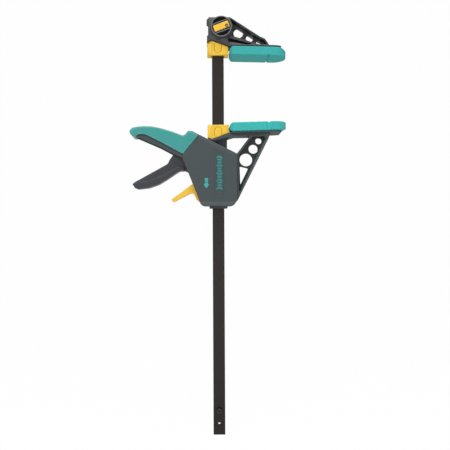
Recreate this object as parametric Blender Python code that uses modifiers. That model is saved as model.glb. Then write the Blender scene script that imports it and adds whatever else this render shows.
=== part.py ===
# One-handed bar clamp with a quick-change head, modelled in metres.
# The bar stands along Z with its lower end on the origin, and both jaws reach out along X.
# Every sub-part is one object. Cutters and joined helpers are kept in a second collection.

import math

import bmesh
import bpy
from mathutils import Matrix, Vector

# Fits
FIT = 0.0003
OVERRUN = 0.002
SINK = 0.0012
MERGE = 0.00001
FLAT_ANGLE = math.radians(0.05)
ARC_STEPS = 4
ROUND_SIDES = 28
SMALL_SIDES = 16
COIL_SIDES = 10
STRAIGHT_ANGLE = math.radians(176)
SHARP_ANGLE = math.radians(35)
EDGE_ANGLE = math.radians(40)
FILLET_SHARE = 0.48

# Bar
BAR_WIDTH = 0.020
BAR_THICKNESS = 0.006
BAR_LENGTH = 0.7115
BAR_EDGE = 0.0007
BAR_HOLE_RADIUS = 0.004
BAR_HOLE_INSET = 0.0185
BAR_FOOT_HOLE_RADIUS = 0.0025
STOP_PIN_HEIGHT = 0.0425
STOP_PIN_RADIUS = 0.0042
STOP_PIN_BORE = 0.0018
STOP_PIN_STAND = 0.006
STOP_PIN_SLOT = math.radians(36)

# Jaw positions: the fixed pad's face lies below the head's top, the moving one below that
HEAD_HEIGHT = 0.0659
HEAD_COVER = 0.0005
JAW_OPENING = 0.114
JAW_TOE = math.radians(1.5)

# Soft pads and the flange and rail that carry them
PAD_LENGTH = 0.097
PAD_WIDTH = 0.036
PAD_HEIGHT = 0.015
PAD_EDGE = 0.0014
PAD_END_CHAMFER = 0.0052
PAD_FACE_CHAMFER = 0.0042
PAD_NOSE = 0.022
PAD_NOSE_DROP = 0.0045
PAD_GROOVE_PLACE = 0.0661
PAD_GROOVE_WIDTH = 0.0054
PAD_GROOVE_DEPTH = 0.0022
FLANGE_THICKNESS = 0.0028
FLANGE_LENGTH = 0.087
FLANGE_INSET = 0.0008
RAIL_INSET = 0.0006
RAIL_LENGTH = 0.081
RAIL_NECK_WIDTH = 0.016
RAIL_HEAD_WIDTH = 0.024
RAIL_NECK_HEIGHT = 0.0027
RAIL_HEAD_HEIGHT = 0.0024
RAIL_DRAFT = 0.0003

# Collars round the bar
COLLAR_SIDE_WALL = 0.0077
COLLAR_FACE_WALL = 0.0049
COLLAR_HEIGHT = 0.0248
COLLAR_EDGE = 0.0006
COLLAR_TIP_PLACE = 0.0106
COLLAR_STEP_DEPTH = 0.0018
COLLAR_TONGUE_WIDTH = 0.0134
COLLAR_TONGUE_HEIGHT = 0.0100
COLLAR_SLIT_FOOT = 0.0034
COLLAR_SLIT_WIDTH = 0.0009
COLLAR_SLIT_DEPTH = 0.0012
COLLAR_PAD_GAP = 0.0012
FIXED_COLLAR_SETBACK = 0.0028
MOVING_COLLAR_SETBACK = 0.0019
SEAT_SLOPE = math.radians(20.7)
SHOULDER_SLOPE = math.radians(26.7)

# Head
HEAD_DEPTH = 0.022
HEAD_WALL = 0.0065
HEAD_BULGE = 0.0026
HEAD_EDGE = 0.0008
HEAD_WEB = 0.004
HEAD_RIB = 0.0026
HEAD_CORNER = 0.003
HEAD_EAR_DEPTH = 0.014
HEAD_EAR_BOTTOM = 0.0095
HEAD_REACH = 0.0685
KNOB_OFFSET = 0.0054
KNOB_RADIUS = 0.0176
KNOB_RIM = 0.0022
KNOB_TILT = math.radians(20.4)
KNOB_FRONT = 0.0200
KNOB_BACK = 0.0063
KNOB_FLOOR = 0.0015
KNOB_POCKET_DEPTH = 0.0049
KNOB_SKIRT = 0.0010
KNOB_SKIRT_HEIGHT = 0.0029
KNOB_RIDGE_WIDTH = 0.0168
KNOB_RIDGE_SETBACK = 0.0006
KNOB_EDGE = 0.0005
BOSS_WALL = 0.0027
BOSS_LIP = 0.0009
BOSS_FRONT = 0.0170
INSERT_LENGTH = 0.026
INSERT_WIDTH = 0.0104
INSERT_DEPTH = 0.0027
INSERT_STAND = 0.0004
INSERT_CORNER = 0.0012
INSERT_HOLE_RADIUS = 0.0027
INSERT_HOLE_ALONG = 0.0088
INSERT_HOLE_ACROSS = 0.0020
RIVET_RADIUS = 0.0021
RIVET_SETBACK = 0.0008
LOCK_PIN_HEAD = 0.0019
LOCK_PIN_HEAD_HEIGHT = 0.0014
LOCK_PIN_REACH = 0.0053
LOCK_PIN_SOCKET = 0.003

# Housing and handle
HOUSING_HEIGHT = 0.1275
HOUSING_NECK = 0.013
HANDLE_REACH = 0.141
HOUSING_HALF_DEPTH = 0.016
HANDLE_HALF_DEPTH = 0.0135
SHELL_WALL = 0.0032
SHELL_EDGE = 0.0007
SHELL_CORNER = 0.005
TOP_BAND = 0.0060
TOP_BAND_DEPTH = 0.0032
BOTTOM_BAND = 0.0070
BOTTOM_BAND_DEPTH = 0.0032
PANEL_WIDTH = 0.0164
PANEL_DEPTH = 0.0006
PANEL_CORNER = 0.001
PANEL_OFFSET = 0.0008
PANEL_LOW = 0.0113
PANEL_TOP_GAP = 0.0065
SHELF_SHARE = 0.3529
SHELF_THICKNESS = 0.003

# Moving jaw truss
ARM_LEFT = 0.0145
TRUSS_REACH = 0.0565
TRUSS_DEPTH = 0.022
TRUSS_WEB = 0.004
TRUSS_ARM_WALL = 0.0012
TRUSS_EDGE = 0.0007
TRUSS_CORNER = 0.003

# Grip
GRIP_HALF_DEPTH = 0.0166
GRIP_EDGE = 0.0028
GRIP_CORNER = 0.010

# Drive plates and trigger
PLATE_THICKNESS = 0.003
PLATE_OVERHANG = 0.015
PLATE_WIDTH = 0.022
PLATE_SLOT_GAP = 0.0006
PLATE_WALL_GAP = 0.0033
PLATE_EDGE = 0.0004
DRIVE_TILT = math.radians(4)
NOSE_RADIUS = 0.004
NOSE_NECK_RADIUS = 0.0024
NOSE_ARM = 0.017
NOSE_BAR_GAP = 0.0057
NOSE_HALF_DEPTH = 0.007
TRIGGER_TRAVEL = math.radians(34)
TRIGGER_PIVOT_DROP = 0.00524
TRIGGER_REACH = 0.111
TRIGGER_DROP_SHARE = 0.4235
TRIGGER_HALF_DEPTH = 0.0070
TRIGGER_FLANGE_HALF_DEPTH = 0.0098
TRIGGER_BOSS_RADIUS = 0.008
TRIGGER_CORNER = 0.004
TRIGGER_EDGE = 0.0020
TRIGGER_PIN_RADIUS = 0.0025
PIN_SOCKET_WALL = 0.003
PIN_SOCKET_HEIGHT = 0.0022
PIN_SIDE_GAP = 0.0004
PIN_FACE_WALL = 0.002
DRIVE_SPRING_RADIUS = 0.0115
DRIVE_SPRING_WIRE = 0.0006
DRIVE_SPRING_TURNS = 7

# Brake plate and release lever
BRAKE_TILT = math.radians(4)
BRAKE_PLATE_SHARE = 0.14196
BRAKE_STOP_LENGTH = 0.0016
BRAKE_STOP_GAP = 0.00045
RELEASE_ARM = 0.011
RELEASE_NOSE_RADIUS = 0.003
RELEASE_NECK_RADIUS = 0.0018
RELEASE_NOSE_HALF_DEPTH = 0.006
RELEASE_PLACE = 0.021
RELEASE_REACH = 0.0495
RELEASE_DROP_SHARE = 0.1388
RELEASE_HALF_DEPTH = 0.0066
RELEASE_BOSS_RADIUS = 0.0052
RELEASE_CORNER = 0.003
RELEASE_EDGE = 0.0014
RELEASE_PIN_RADIUS = 0.002
BRAKE_SPRING_PLACE = 0.010
BRAKE_SPRING_RADIUS = 0.0022
BRAKE_SPRING_WIRE = 0.0004
BRAKE_SPRING_TURNS = 6

# Lower guide round the bar
GUIDE_SIDE_WALL = 0.005
GUIDE_FACE_WALL = 0.0047
GUIDE_STAND = 0.0040
GUIDE_FLANGE = 0.0014
GUIDE_FLANGE_HEIGHT = 0.002
GUIDE_EDGE = 0.0006

# Housing screws
SCREW_RADIUS = 0.0015
SCREW_HEAD_RADIUS = 0.003
SCREW_HEAD_HEIGHT = 0.002
SCREW_BOSS_WALL = 0.0018
SCREW_SINK = 0.0008
SCREW_LENGTH = 0.021
SCREW_SOCKET_RADIUS = 0.0013
SCREW_SOCKET_DEPTH = 0.0009

# Places worked out from the sizes above
HALF_BAR = BAR_WIDTH / 2
SLOT_HALF_WIDTH = HALF_BAR + FIT
SLOT_HALF_DEPTH = BAR_THICKNESS / 2 + FIT
HEAD_TOP = BAR_LENGTH + HEAD_COVER
FIXED_FACE = HEAD_TOP - HEAD_HEIGHT
MOVING_FACE = FIXED_FACE - JAW_OPENING
COLLAR_SIDE = SLOT_HALF_WIDTH + COLLAR_SIDE_WALL
COLLAR_FRONT = SLOT_HALF_DEPTH + COLLAR_FACE_WALL
PAD_START = COLLAR_SIDE + COLLAR_PAD_GAP
FLANGE_SEAT = PAD_HEIGHT + FIT
FLANGE_BACK = FLANGE_SEAT + FLANGE_THICKNESS
KNOB_HEIGHT = BAR_LENGTH - BAR_HOLE_INSET
BOSS_RADIUS = KNOB_RADIUS + FIT + BOSS_WALL
HEAD_ARM_HEIGHT = HEAD_HEIGHT - FLANGE_BACK
LOCK_PIN_RADIUS = BAR_HOLE_RADIUS - FIT
LOCK_PIN_HEAD_RADIUS = LOCK_PIN_RADIUS + LOCK_PIN_HEAD
LOCK_PIN_STROKE = LOCK_PIN_REACH + FIT
HOUSING_DROP = HOUSING_HEIGHT + HOUSING_NECK
HOUSING_BOTTOM = MOVING_FACE - HOUSING_DROP
SIDE_TOP_SHARE = 0.696
SIDE_TOP = HOUSING_BOTTOM + SIDE_TOP_SHARE * HOUSING_HEIGHT
PLATE_END = HALF_BAR + PLATE_OVERHANG
HOUSING_SIDE = PLATE_END + PLATE_WALL_GAP + SHELL_WALL
HOUSING_CAVITY = HOUSING_HALF_DEPTH - SHELL_WALL - FIT
HANDLE_CAVITY = HANDLE_HALF_DEPTH - SHELL_WALL
FLOOR = HOUSING_BOTTOM + SHELL_WALL
TRUSS_HEIGHT = HOUSING_DROP - FLANGE_BACK
NOSE_X = -HALF_BAR - NOSE_BAR_GAP - NOSE_RADIUS
TRIGGER_X = NOSE_X - NOSE_ARM * math.cos(TRIGGER_TRAVEL / 2)
TRIGGER_Z = SIDE_TOP - TRIGGER_PIVOT_DROP
TRIGGER_DROP = TRIGGER_DROP_SHARE * HOUSING_HEIGHT
NOSE_RISE = NOSE_ARM * math.sin(TRIGGER_TRAVEL / 2)
DRIVE_STROKE = 2 * NOSE_RISE
SHELF_HEIGHT = SHELF_SHARE * HOUSING_HEIGHT
SHELF_TOP = HOUSING_BOTTOM + SHELF_HEIGHT + SHELF_THICKNESS
BRAKE_X = PLATE_END
BRAKE_Z = HOUSING_BOTTOM + BRAKE_PLATE_SHARE * HOUSING_HEIGHT
RELEASE_X = -HALF_BAR - RELEASE_PLACE
RELEASE_DROP = RELEASE_DROP_SHARE * HOUSING_HEIGHT
RELEASE_NOSE_X = RELEASE_X + RELEASE_ARM
BRAKE_DROP = (BRAKE_X - RELEASE_NOSE_X) * math.tan(BRAKE_TILT)
RELEASE_TRAVEL = 2 * math.atan(BRAKE_DROP / 2 / RELEASE_ARM)
HALF_PLATE_RISE = PLATE_THICKNESS / 2 / math.cos(BRAKE_TILT)
RELEASE_NOSE_LIFT = (RELEASE_NOSE_RADIUS + FIT) / math.cos(BRAKE_TILT)
RELEASE_Z = BRAKE_Z + BRAKE_DROP / 2 + HALF_PLATE_RISE + RELEASE_NOSE_LIFT
SCREW_BOSS_RADIUS = SCREW_RADIUS + FIT + SCREW_BOSS_WALL

# Colours
TEAL = (0.075, 0.43, 0.41)
DARK_GREY = (0.075, 0.088, 0.095)
HEAD_GREY = (0.035, 0.038, 0.043)
MID_GREY = (0.060, 0.066, 0.074)
YELLOW = (0.85, 0.52, 0.06)
BLACK_STEEL = (0.030, 0.026, 0.023)
BRIGHT_STEEL = (0.45, 0.45, 0.44)

# Views in which an outline is drawn: side is XZ, plan is XY and end is YZ
SIDE_VIEW = Matrix(((1, 0, 0, 0), (0, 0, -1, 0), (0, 1, 0, 0), (0, 0, 0, 1)))
END_VIEW = Matrix(((0, 0, 1, 0), (1, 0, 0, 0), (0, 1, 0, 0), (0, 0, 0, 1)))
VIEWS = {"side": (SIDE_VIEW, Vector((0, 1, 0))),
         "plan": (Matrix.Identity(4), Vector((0, 0, 1))),
         "end": (END_VIEW, Vector((1, 0, 0)))}


# Scene set-up

for old in list(bpy.data.objects):
    bpy.data.objects.remove(old, do_unlink=True)

clamp = bpy.data.collections.new("one_handed_clamp")
bpy.context.scene.collection.children.link(clamp)
helpers = bpy.data.collections.new("cutters")
bpy.context.scene.collection.children.link(helpers)


def material(name, colour, roughness, metallic=0.0):
    made = bpy.data.materials.new(name)
    made.use_nodes = True
    shader = made.node_tree.nodes["Principled BSDF"]
    shader.inputs["Base Color"].default_value = (*colour, 1.0)
    shader.inputs["Roughness"].default_value = roughness
    shader.inputs["Metallic"].default_value = metallic
    return made


# Outlines

def rounded(corners, steps=ARC_STEPS):
    # Each corner is (u, v, radius). A fillet never takes more than half of an edge.
    points = []
    count = len(corners)
    for index, (u, v, radius) in enumerate(corners):
        here = Vector((u, v))
        before = Vector(corners[index - 1][:2]) - here
        after = Vector(corners[(index + 1) % count][:2]) - here
        opening = before.angle(after)
        longest = FILLET_SHARE * min(before.length, after.length)
        setback = min(radius / math.tan(opening / 2), longest)
        if setback < MERGE or opening > STRAIGHT_ANGLE:
            points.append((u, v))
            continue
        start = here + before.normalized() * setback
        end = here + after.normalized() * setback
        for step in range(steps + 1):
            t = step / steps
            point = start * (1 - t) ** 2 + here * 2 * t * (1 - t) + end * t ** 2
            points.append((point.x, point.y))
    return points


def grown(corners, distance):
    # The outline moved outward by a distance, each side staying parallel to itself
    pairs = list(zip([corners[-1]] + corners[:-1], corners))
    area = sum(first[0] * second[1] - second[0] * first[1] for first, second in pairs)
    side = 1 if area > 0 else -1
    moved = []
    count = len(corners)
    for index, (u, v, radius) in enumerate(corners):
        here = Vector((u, v))
        before = (here - Vector(corners[index - 1][:2])).normalized()
        after = (Vector(corners[(index + 1) % count][:2]) - here).normalized()
        normal_before = Vector((before.y, -before.x)) * side
        normal_after = Vector((after.y, -after.x)) * side
        bisector = (normal_before + normal_after).normalized()
        place = here + bisector * (distance / bisector.dot(normal_after))
        moved.append((place.x, place.y, max(radius + distance, 0)))
    return moved


def meeting(first, second, third, fourth):
    # Where the line through the first two points meets the line through the other two
    run = Vector(second) - Vector(first)
    other = Vector(fourth) - Vector(third)
    gap = Vector(third) - Vector(first)
    share = (gap.x * other.y - gap.y * other.x) / (run.x * other.y - run.y * other.x)
    return Vector(first) + run * share


def circle(centre, radius, sides=ROUND_SIDES):
    turns = [2 * math.pi * side / sides for side in range(sides)]
    return [(centre[0] + radius * math.cos(a), centre[1] + radius * math.sin(a)) for a in turns]


def capsule(start, end, radius):
    # Two round ends joined by straight sides
    run = Vector(end) - Vector(start)
    heading = math.atan2(run.y, run.x)
    points = []
    for centre, first in ((end, -math.pi / 2), (start, math.pi / 2)):
        for step in range(2 * ARC_STEPS + 1):
            angle = heading + first + math.pi * step / (2 * ARC_STEPS)
            points.append((centre[0] + radius * math.cos(angle),
                           centre[1] + radius * math.sin(angle)))
    return points


def rectangle(left, right, bottom, top, radius=0):
    return [(left, bottom, radius), (right, bottom, radius),
            (right, top, radius), (left, top, radius)]


# Solids

def place_mesh(name, mesh, look):
    # Closes the mesh, shades it and puts it in the clamp's collection
    work = bmesh.new()
    work.from_mesh(mesh)
    bmesh.ops.remove_doubles(work, verts=work.verts, dist=MERGE)
    bmesh.ops.dissolve_limit(work, angle_limit=FLAT_ANGLE, verts=work.verts, edges=work.edges)
    bmesh.ops.recalc_face_normals(work, faces=work.faces)
    work.to_mesh(mesh)
    work.free()
    mesh.shade_smooth()
    mesh.set_sharp_from_angle(angle=SHARP_ANGLE)
    mesh.materials.clear()
    if look:
        mesh.materials.append(look)
    made = bpy.data.objects.new(name, mesh)
    clamp.objects.link(made)
    return made


def evaluated_mesh(name, drawn):
    # The mesh that a curve or a modifier makes, with the object that drew it removed
    clamp.objects.link(drawn)
    bpy.context.view_layer.update()
    evaluated = drawn.evaluated_get(bpy.context.evaluated_depsgraph_get())
    mesh = bpy.data.meshes.new_from_object(evaluated)
    bpy.data.objects.remove(drawn, do_unlink=True)
    mesh.name = name
    return mesh


def extruded(name, outlines, near, far, look=None, view="side"):
    # A flat curve filled on both sides and extruded by half its thickness each way,
    # between two places along the axis that the view looks down
    frame, axis = VIEWS[view]
    curve = bpy.data.curves.new(name, "CURVE")
    curve.dimensions = "2D"
    curve.fill_mode = "BOTH"
    curve.extrude = abs(far - near) / 2
    for outline in outlines:
        spline = curve.splines.new("POLY")
        spline.points.add(len(outline) - 1)
        for point, (u, v) in zip(spline.points, outline):
            point.co = (u, v, 0, 1)
        spline.use_cyclic_u = True
    mesh = evaluated_mesh(name, bpy.data.objects.new(name + "_outline", curve))
    mesh.transform(Matrix.Translation(axis * ((near + far) / 2)) @ frame)
    return place_mesh(name, mesh, look)


def rod(name, radius, start, end, look=None, sides=ROUND_SIDES):
    # A cylinder between two points
    start = Vector(start)
    end = Vector(end)
    mesh = bpy.data.meshes.new(name)
    work = bmesh.new()
    bmesh.ops.create_cone(work, cap_ends=True, segments=sides, radius1=radius,
                          radius2=radius, depth=(end - start).length)
    work.to_mesh(mesh)
    work.free()
    turn = (end - start).to_track_quat("Z", "Y").to_matrix().to_4x4()
    mesh.transform(Matrix.Translation((start + end) / 2) @ turn)
    return place_mesh(name, mesh, look)


def cross_rod(name, radius, place, near, far, look=None, sides=ROUND_SIDES):
    # A cylinder along Y at a place in the side view
    start = (place[0], near, place[1])
    return rod(name, radius, start, (place[0], far, place[1]), look, sides)


def box(name, x, y, z, look=None):
    # A cuboid between the pairs of limits given for each axis
    mesh = bpy.data.meshes.new(name)
    work = bmesh.new()
    bmesh.ops.create_cube(work, size=1)
    work.to_mesh(mesh)
    work.free()
    size = Matrix.Diagonal((x[1] - x[0], y[1] - y[0], z[1] - z[0], 1))
    middle = Matrix.Translation(((x[0] + x[1]) / 2, (y[0] + y[1]) / 2, (z[0] + z[1]) / 2))
    mesh.transform(middle @ size)
    return place_mesh(name, mesh, look)


def turned(name, profile, place, look, sides=SMALL_SIDES):
    # A turned piece along Y, from (radius, Y) rows that run from its front end to its back
    mesh = bpy.data.meshes.new(name)
    work = bmesh.new()
    points = [work.verts.new((radius, 0, -along)) for radius, along in profile]
    for first, second in zip(points, points[1:]):
        work.edges.new((first, second))
    work.to_mesh(mesh)
    work.free()
    drawn = bpy.data.objects.new(name + "_profile", mesh)
    screw = drawn.modifiers.new("turn", "SCREW")
    screw.axis = "Z"
    screw.steps = sides
    screw.render_steps = sides
    screw.use_merge_vertices = True
    screw.merge_threshold = MERGE
    solid = evaluated_mesh(name, drawn)
    solid.transform(Matrix.Translation((place[0], 0, place[1])) @ SIDE_VIEW)
    return place_mesh(name, solid, look)


def coil(name, radius, wire, turns, place, bottom, top, look):
    # An unbroken helix between two seats
    low = bottom + wire
    high = top - wire
    curve = bpy.data.curves.new(name, "CURVE")
    curve.dimensions = "3D"
    curve.bevel_depth = wire
    curve.bevel_resolution = 1
    curve.use_fill_caps = True
    spline = curve.splines.new("POLY")
    spline.points.add(turns * COIL_SIDES)
    for step, point in enumerate(spline.points):
        angle = 2 * math.pi * step / COIL_SIDES
        height = low + (high - low) * step / (turns * COIL_SIDES)
        point.co = (place[0] + radius * math.cos(angle),
                    place[1] + radius * math.sin(angle), height, 1)
    mesh = evaluated_mesh(name, bpy.data.objects.new(name + "_path", curve))
    return place_mesh(name, mesh, look)


def soften(made, width, segments=2):
    bevel = made.modifiers.new("edges", "BEVEL")
    bevel.width = width
    bevel.segments = segments
    bevel.limit_method = "ANGLE"
    bevel.angle_limit = EDGE_ANGLE
    return made


def combine(made, other, operation):
    clamp.objects.unlink(other)
    helpers.objects.link(other)
    other.hide_render = True
    other.display_type = "WIRE"
    step = made.modifiers.new(operation.lower(), "BOOLEAN")
    step.operation = operation
    step.solver = "EXACT"
    step.object = other


def cut(made, *cutters):
    for cutter in cutters:
        combine(made, cutter, "DIFFERENCE")
    return made


def join(made, *others):
    for other in others:
        combine(made, other, "UNION")
    return made


def together(name, solids):
    # Several solids that stay clear of each other, as one cutter or one piece to join
    work = bmesh.new()
    for solid in solids:
        work.from_mesh(solid.data)
        bpy.data.objects.remove(solid, do_unlink=True)
    mesh = bpy.data.meshes.new(name)
    work.to_mesh(mesh)
    work.free()
    return place_mesh(name, mesh, None)


def turn_about(made, angle, place):
    # Turns a mesh about an axis along Y through a place in the side view
    there = Matrix.Translation((place[0], 0, place[1]))
    made.data.transform(there @ Matrix.Rotation(angle, 4, "Y") @ there.inverted())
    return made


def bar_slot(name, low, high):
    return box(name, (-SLOT_HALF_WIDTH, SLOT_HALF_WIDTH),
               (-SLOT_HALF_DEPTH, SLOT_HALF_DEPTH), (low, high))


# Bar and its stop pin

def make_bar(look):
    holes = [circle((0, height), radius, SMALL_SIDES) for height, radius in (
        (BAR_HOLE_INSET, BAR_FOOT_HOLE_RADIUS), (STOP_PIN_HEIGHT, STOP_PIN_RADIUS + FIT),
        (KNOB_HEIGHT, BAR_HOLE_RADIUS))]
    outline = [corner[:2] for corner in rectangle(-HALF_BAR, HALF_BAR, 0, BAR_LENGTH)]
    half = BAR_THICKNESS / 2
    made = extruded("bar", [outline] + holes, -half, half, look)
    return soften(made, BAR_EDGE, 1)


def make_stop_pin(look):
    # A slotted spring pin
    first = STOP_PIN_SLOT / 2 + math.radians(90)
    sweep = 2 * math.pi - STOP_PIN_SLOT
    angles = [first + sweep * step / SMALL_SIDES for step in range(SMALL_SIDES + 1)]
    outline = [(STOP_PIN_RADIUS * math.cos(a), STOP_PIN_HEIGHT + STOP_PIN_RADIUS * math.sin(a))
               for a in angles]
    outline += [(STOP_PIN_BORE * math.cos(a), STOP_PIN_HEIGHT + STOP_PIN_BORE * math.sin(a))
                for a in reversed(angles)]
    end = BAR_THICKNESS / 2 + STOP_PIN_STAND
    return extruded("bar_stop_pin", [outline], -end, end, look)


# Pads, and the flange and rail that carry them. A jaw is its face's height and the side
# that its back is on: up for the fixed jaw, down for the moving one.

FIXED_JAW = (FIXED_FACE, 1)
MOVING_JAW = (MOVING_FACE, -1)


def level(jaw, height):
    return jaw[0] + jaw[1] * height


def toe_in(made, jaw):
    return turn_about(made, jaw[1] * JAW_TOE, (PAD_START, jaw[0]))


def pad_plan(inset):
    # The pad seen from above: two chamfers at the bar and an elliptical nose
    half = PAD_WIDTH / 2 - inset
    start = PAD_START + inset
    chamfer = PAD_END_CHAMFER
    nose = PAD_NOSE - inset
    centre = PAD_START + PAD_LENGTH - PAD_NOSE
    points = [(start + chamfer, half), (start, half - chamfer),
              (start, chamfer - half), (start + chamfer, -half)]
    steps = 3 * ARC_STEPS
    for step in range(steps + 1):
        angle = math.pi * step / steps - math.pi / 2
        points.append((centre + nose * math.cos(angle), half * math.sin(angle)))
    return points


def jaw_plate(name, inset, jaw, low, high, look=None):
    # A slab of the pad's plan between two heights above its face
    levels = sorted((level(jaw, low), level(jaw, high)))
    made = extruded(name, [pad_plan(inset)], levels[0], levels[1], look, "plan")
    return toe_in(made, jaw)


def jaw_cutter(name, rows, jaw):
    # A cutter across the whole jaw, from rows of place along it and height above its face
    outline = [(PAD_START + along, level(jaw, up)) for along, up in rows]
    return toe_in(extruded(name, [outline], -PAD_WIDTH, PAD_WIDTH), jaw)


def rail(name, jaw, gap, overrun):
    # The T-shaped rail that holds a pad, or with a gap the slot in the pad that takes it
    neck = RAIL_NECK_WIDTH / 2 + gap
    head = RAIL_HEAD_WIDTH / 2 + gap
    top = level(jaw, FLANGE_SEAT + FLANGE_THICKNESS / 2 + overrun)
    root = level(jaw, PAD_HEIGHT - RAIL_NECK_HEIGHT + gap)
    shoulder = level(jaw, PAD_HEIGHT - RAIL_NECK_HEIGHT + gap - RAIL_DRAFT)
    low = level(jaw, PAD_HEIGHT - RAIL_NECK_HEIGHT - RAIL_HEAD_HEIGHT - gap)
    outline = [(-head, low), (head, low), (head, shoulder), (neck, root),
               (neck, top), (-neck, top), (-neck, root), (-head, shoulder)]
    start = PAD_START + RAIL_INSET - overrun
    end = PAD_START + RAIL_LENGTH + gap
    return toe_in(extruded(name, [outline], start, end, None, "end"), jaw)


def make_pad(name, jaw, look):
    made = soften(jaw_plate(name, 0, jaw, 0, PAD_HEIGHT, look), PAD_EDGE)
    chamfer = PAD_FACE_CHAMFER
    top = PAD_HEIGHT
    over = OVERRUN
    nose = PAD_LENGTH - PAD_NOSE / 2
    nose_top = top - PAD_NOSE_DROP
    half = PAD_GROOVE_WIDTH / 2
    groove = PAD_GROOVE_PLACE
    slope = PAD_NOSE_DROP / (PAD_LENGTH - nose)
    flare = over * half / PAD_GROOVE_DEPTH
    shapes = {
        "back_corner": [(-over, top - chamfer - over), (chamfer + over, top + over),
                        (-over, top + over)],
        "face_corner": [(-over, chamfer + over), (chamfer + over, -over), (-over, -over)],
        "nose_corner": [(nose - over / slope, top + over), (PAD_LENGTH + over, nose_top - over * slope),
                        (PAD_LENGTH + over, top + over)],
        "groove": [(groove - half - flare, -over), (groove + half + flare, -over),
                   (groove, PAD_GROOVE_DEPTH)],
    }
    for shape, rows in shapes.items():
        cut(made, jaw_cutter(name + "_" + shape, rows, jaw))
    return cut(made, rail(name + "_slot", jaw, FIT, RAIL_INSET + OVERRUN))


def flange(name, jaw):
    # The plate behind a pad, cut off square before the pad's nose
    made = soften(jaw_plate(name, FLANGE_INSET, jaw, FLANGE_SEAT, FLANGE_BACK), HEAD_EDGE, 1)
    past = PAD_LENGTH + OVERRUN
    high = FLANGE_BACK + OVERRUN
    rows = [(FLANGE_LENGTH, 0), (past, 0), (past, high), (FLANGE_LENGTH, high)]
    return cut(made, jaw_cutter(name + "_end", rows, jaw))


# Collars

def collar_profile(jaw, gap):
    # The collar from the side: flat toward the jaws' gap, a slanted V toward its seat
    right = COLLAR_SIDE + gap
    tip = COLLAR_HEIGHT + gap
    right_drop = (COLLAR_TIP_PLACE + right) * math.tan(SEAT_SLOPE)
    left_drop = (right - COLLAR_TIP_PLACE) * math.tan(SHOULDER_SLOPE)
    rows = [(-right, -gap), (right, -gap), (right, tip - right_drop),
            (-COLLAR_TIP_PLACE, tip), (-right, tip - left_drop)]
    return [(x, level(jaw, up)) for x, up in rows]


def collar_slit(name, jaw, way):
    # The U-shaped slit round the snap tongue in the collar's front and back
    outer = COLLAR_TONGUE_WIDTH / 2
    inner = outer - COLLAR_SLIT_WIDTH
    bend = COLLAR_SLIT_FOOT + outer
    top = bend + COLLAR_TONGUE_HEIGHT
    turns = [math.pi + math.pi * step / (2 * ARC_STEPS) for step in range(2 * ARC_STEPS + 1)]
    points = [(outer * math.cos(a), bend + outer * math.sin(a)) for a in turns]
    points += [(outer, top), (inner, top)]
    points += [(inner * math.cos(a), bend + inner * math.sin(a)) for a in reversed(turns)]
    points += [(-inner, top), (-outer, top)]
    outline = [(x, level(jaw, up)) for x, up in points]
    ends = sorted((way * (COLLAR_FRONT - COLLAR_SLIT_DEPTH), way * (COLLAR_FRONT + OVERRUN)))
    return extruded(name, [outline], ends[0], ends[1])


def make_collar(name, jaw, look):
    made = extruded(name, [collar_profile(jaw, 0)], -COLLAR_FRONT, COLLAR_FRONT, look)
    soften(made, COLLAR_EDGE, 1)
    past = COLLAR_FRONT + OVERRUN
    far = -COLLAR_SIDE - OVERRUN
    slope = COLLAR_STEP_DEPTH / (COLLAR_SIDE - COLLAR_TIP_PLACE)
    near = OVERRUN / slope - COLLAR_TIP_PLACE
    step = COLLAR_FRONT - COLLAR_STEP_DEPTH - OVERRUN * slope
    levels = sorted((level(jaw, -OVERRUN), level(jaw, COLLAR_HEIGHT + OVERRUN)))
    for way in (-1, 1):
        corner = [(near, way * past), (far, way * past), (far, way * step)]
        cut(made, extruded(name + "_step", [corner], levels[0], levels[1], None, "plan"))
        cut(made, collar_slit(name + "_slit", jaw, way))
    return cut(made, bar_slot(name + "_bar_slot", levels[0], levels[1]))


FIXED_COLLAR = (FIXED_FACE + FIXED_COLLAR_SETBACK, 1)
MOVING_COLLAR = (MOVING_FACE - MOVING_COLLAR_SETBACK, -1)

# Fixed jaw. Its left side is given as shares of the bulge and of the head's height,
# its arm as shares of the reach past the pad's start and of the height over the flange.

HEAD_LEFT_SHARES = ((0.0, 0.0, 1.4), (1.0, 0.042, 1.4), (1.0, 0.100, 0.5), (0.0, 0.128, 0.4),
                    (0.0, 0.455, 0.4), (0.8, 0.486, 0.4), (0.8, 0.62, 0.4))
HEAD_TOP_SHARES = ((0.02, 0.0, 1.5), (0.76, 0.69, 3.0), (0.88, 0.765, 1.2),
                   (0.945, 0.89, 1.0), (1.0, 1.03, 0.0))
HEAD_HOLE_SHARES = ((0.235, 0.498, 0.121), (0.513, 0.690, 0.090), (0.735, 0.845, 0.056))
HEAD_UPPER_SHARES = ((0.02, 0.0, 0.0), (0.76, 0.69, 3.0), (0.88, 0.765, 1.2),
                     (0.945, 0.89, 1.0), (1.0, 1.03, 1.0), (0.75, 1.03, 0.5), (-0.1, 0.64, 0.0))
HEAD_LOWER_SHARES = ((-0.02, 0.734, 0.3), (0.567, 0.955, 0.1), (0.50, 0.990, 0.1),
                     (-0.02, 0.870, 0.3))


def on_head(shares):
    return [(PAD_START + along * HEAD_REACH, HEAD_TOP - down * HEAD_ARM_HEIGHT,
             fillet * HEAD_CORNER) for along, down, fillet in shares]


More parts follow.
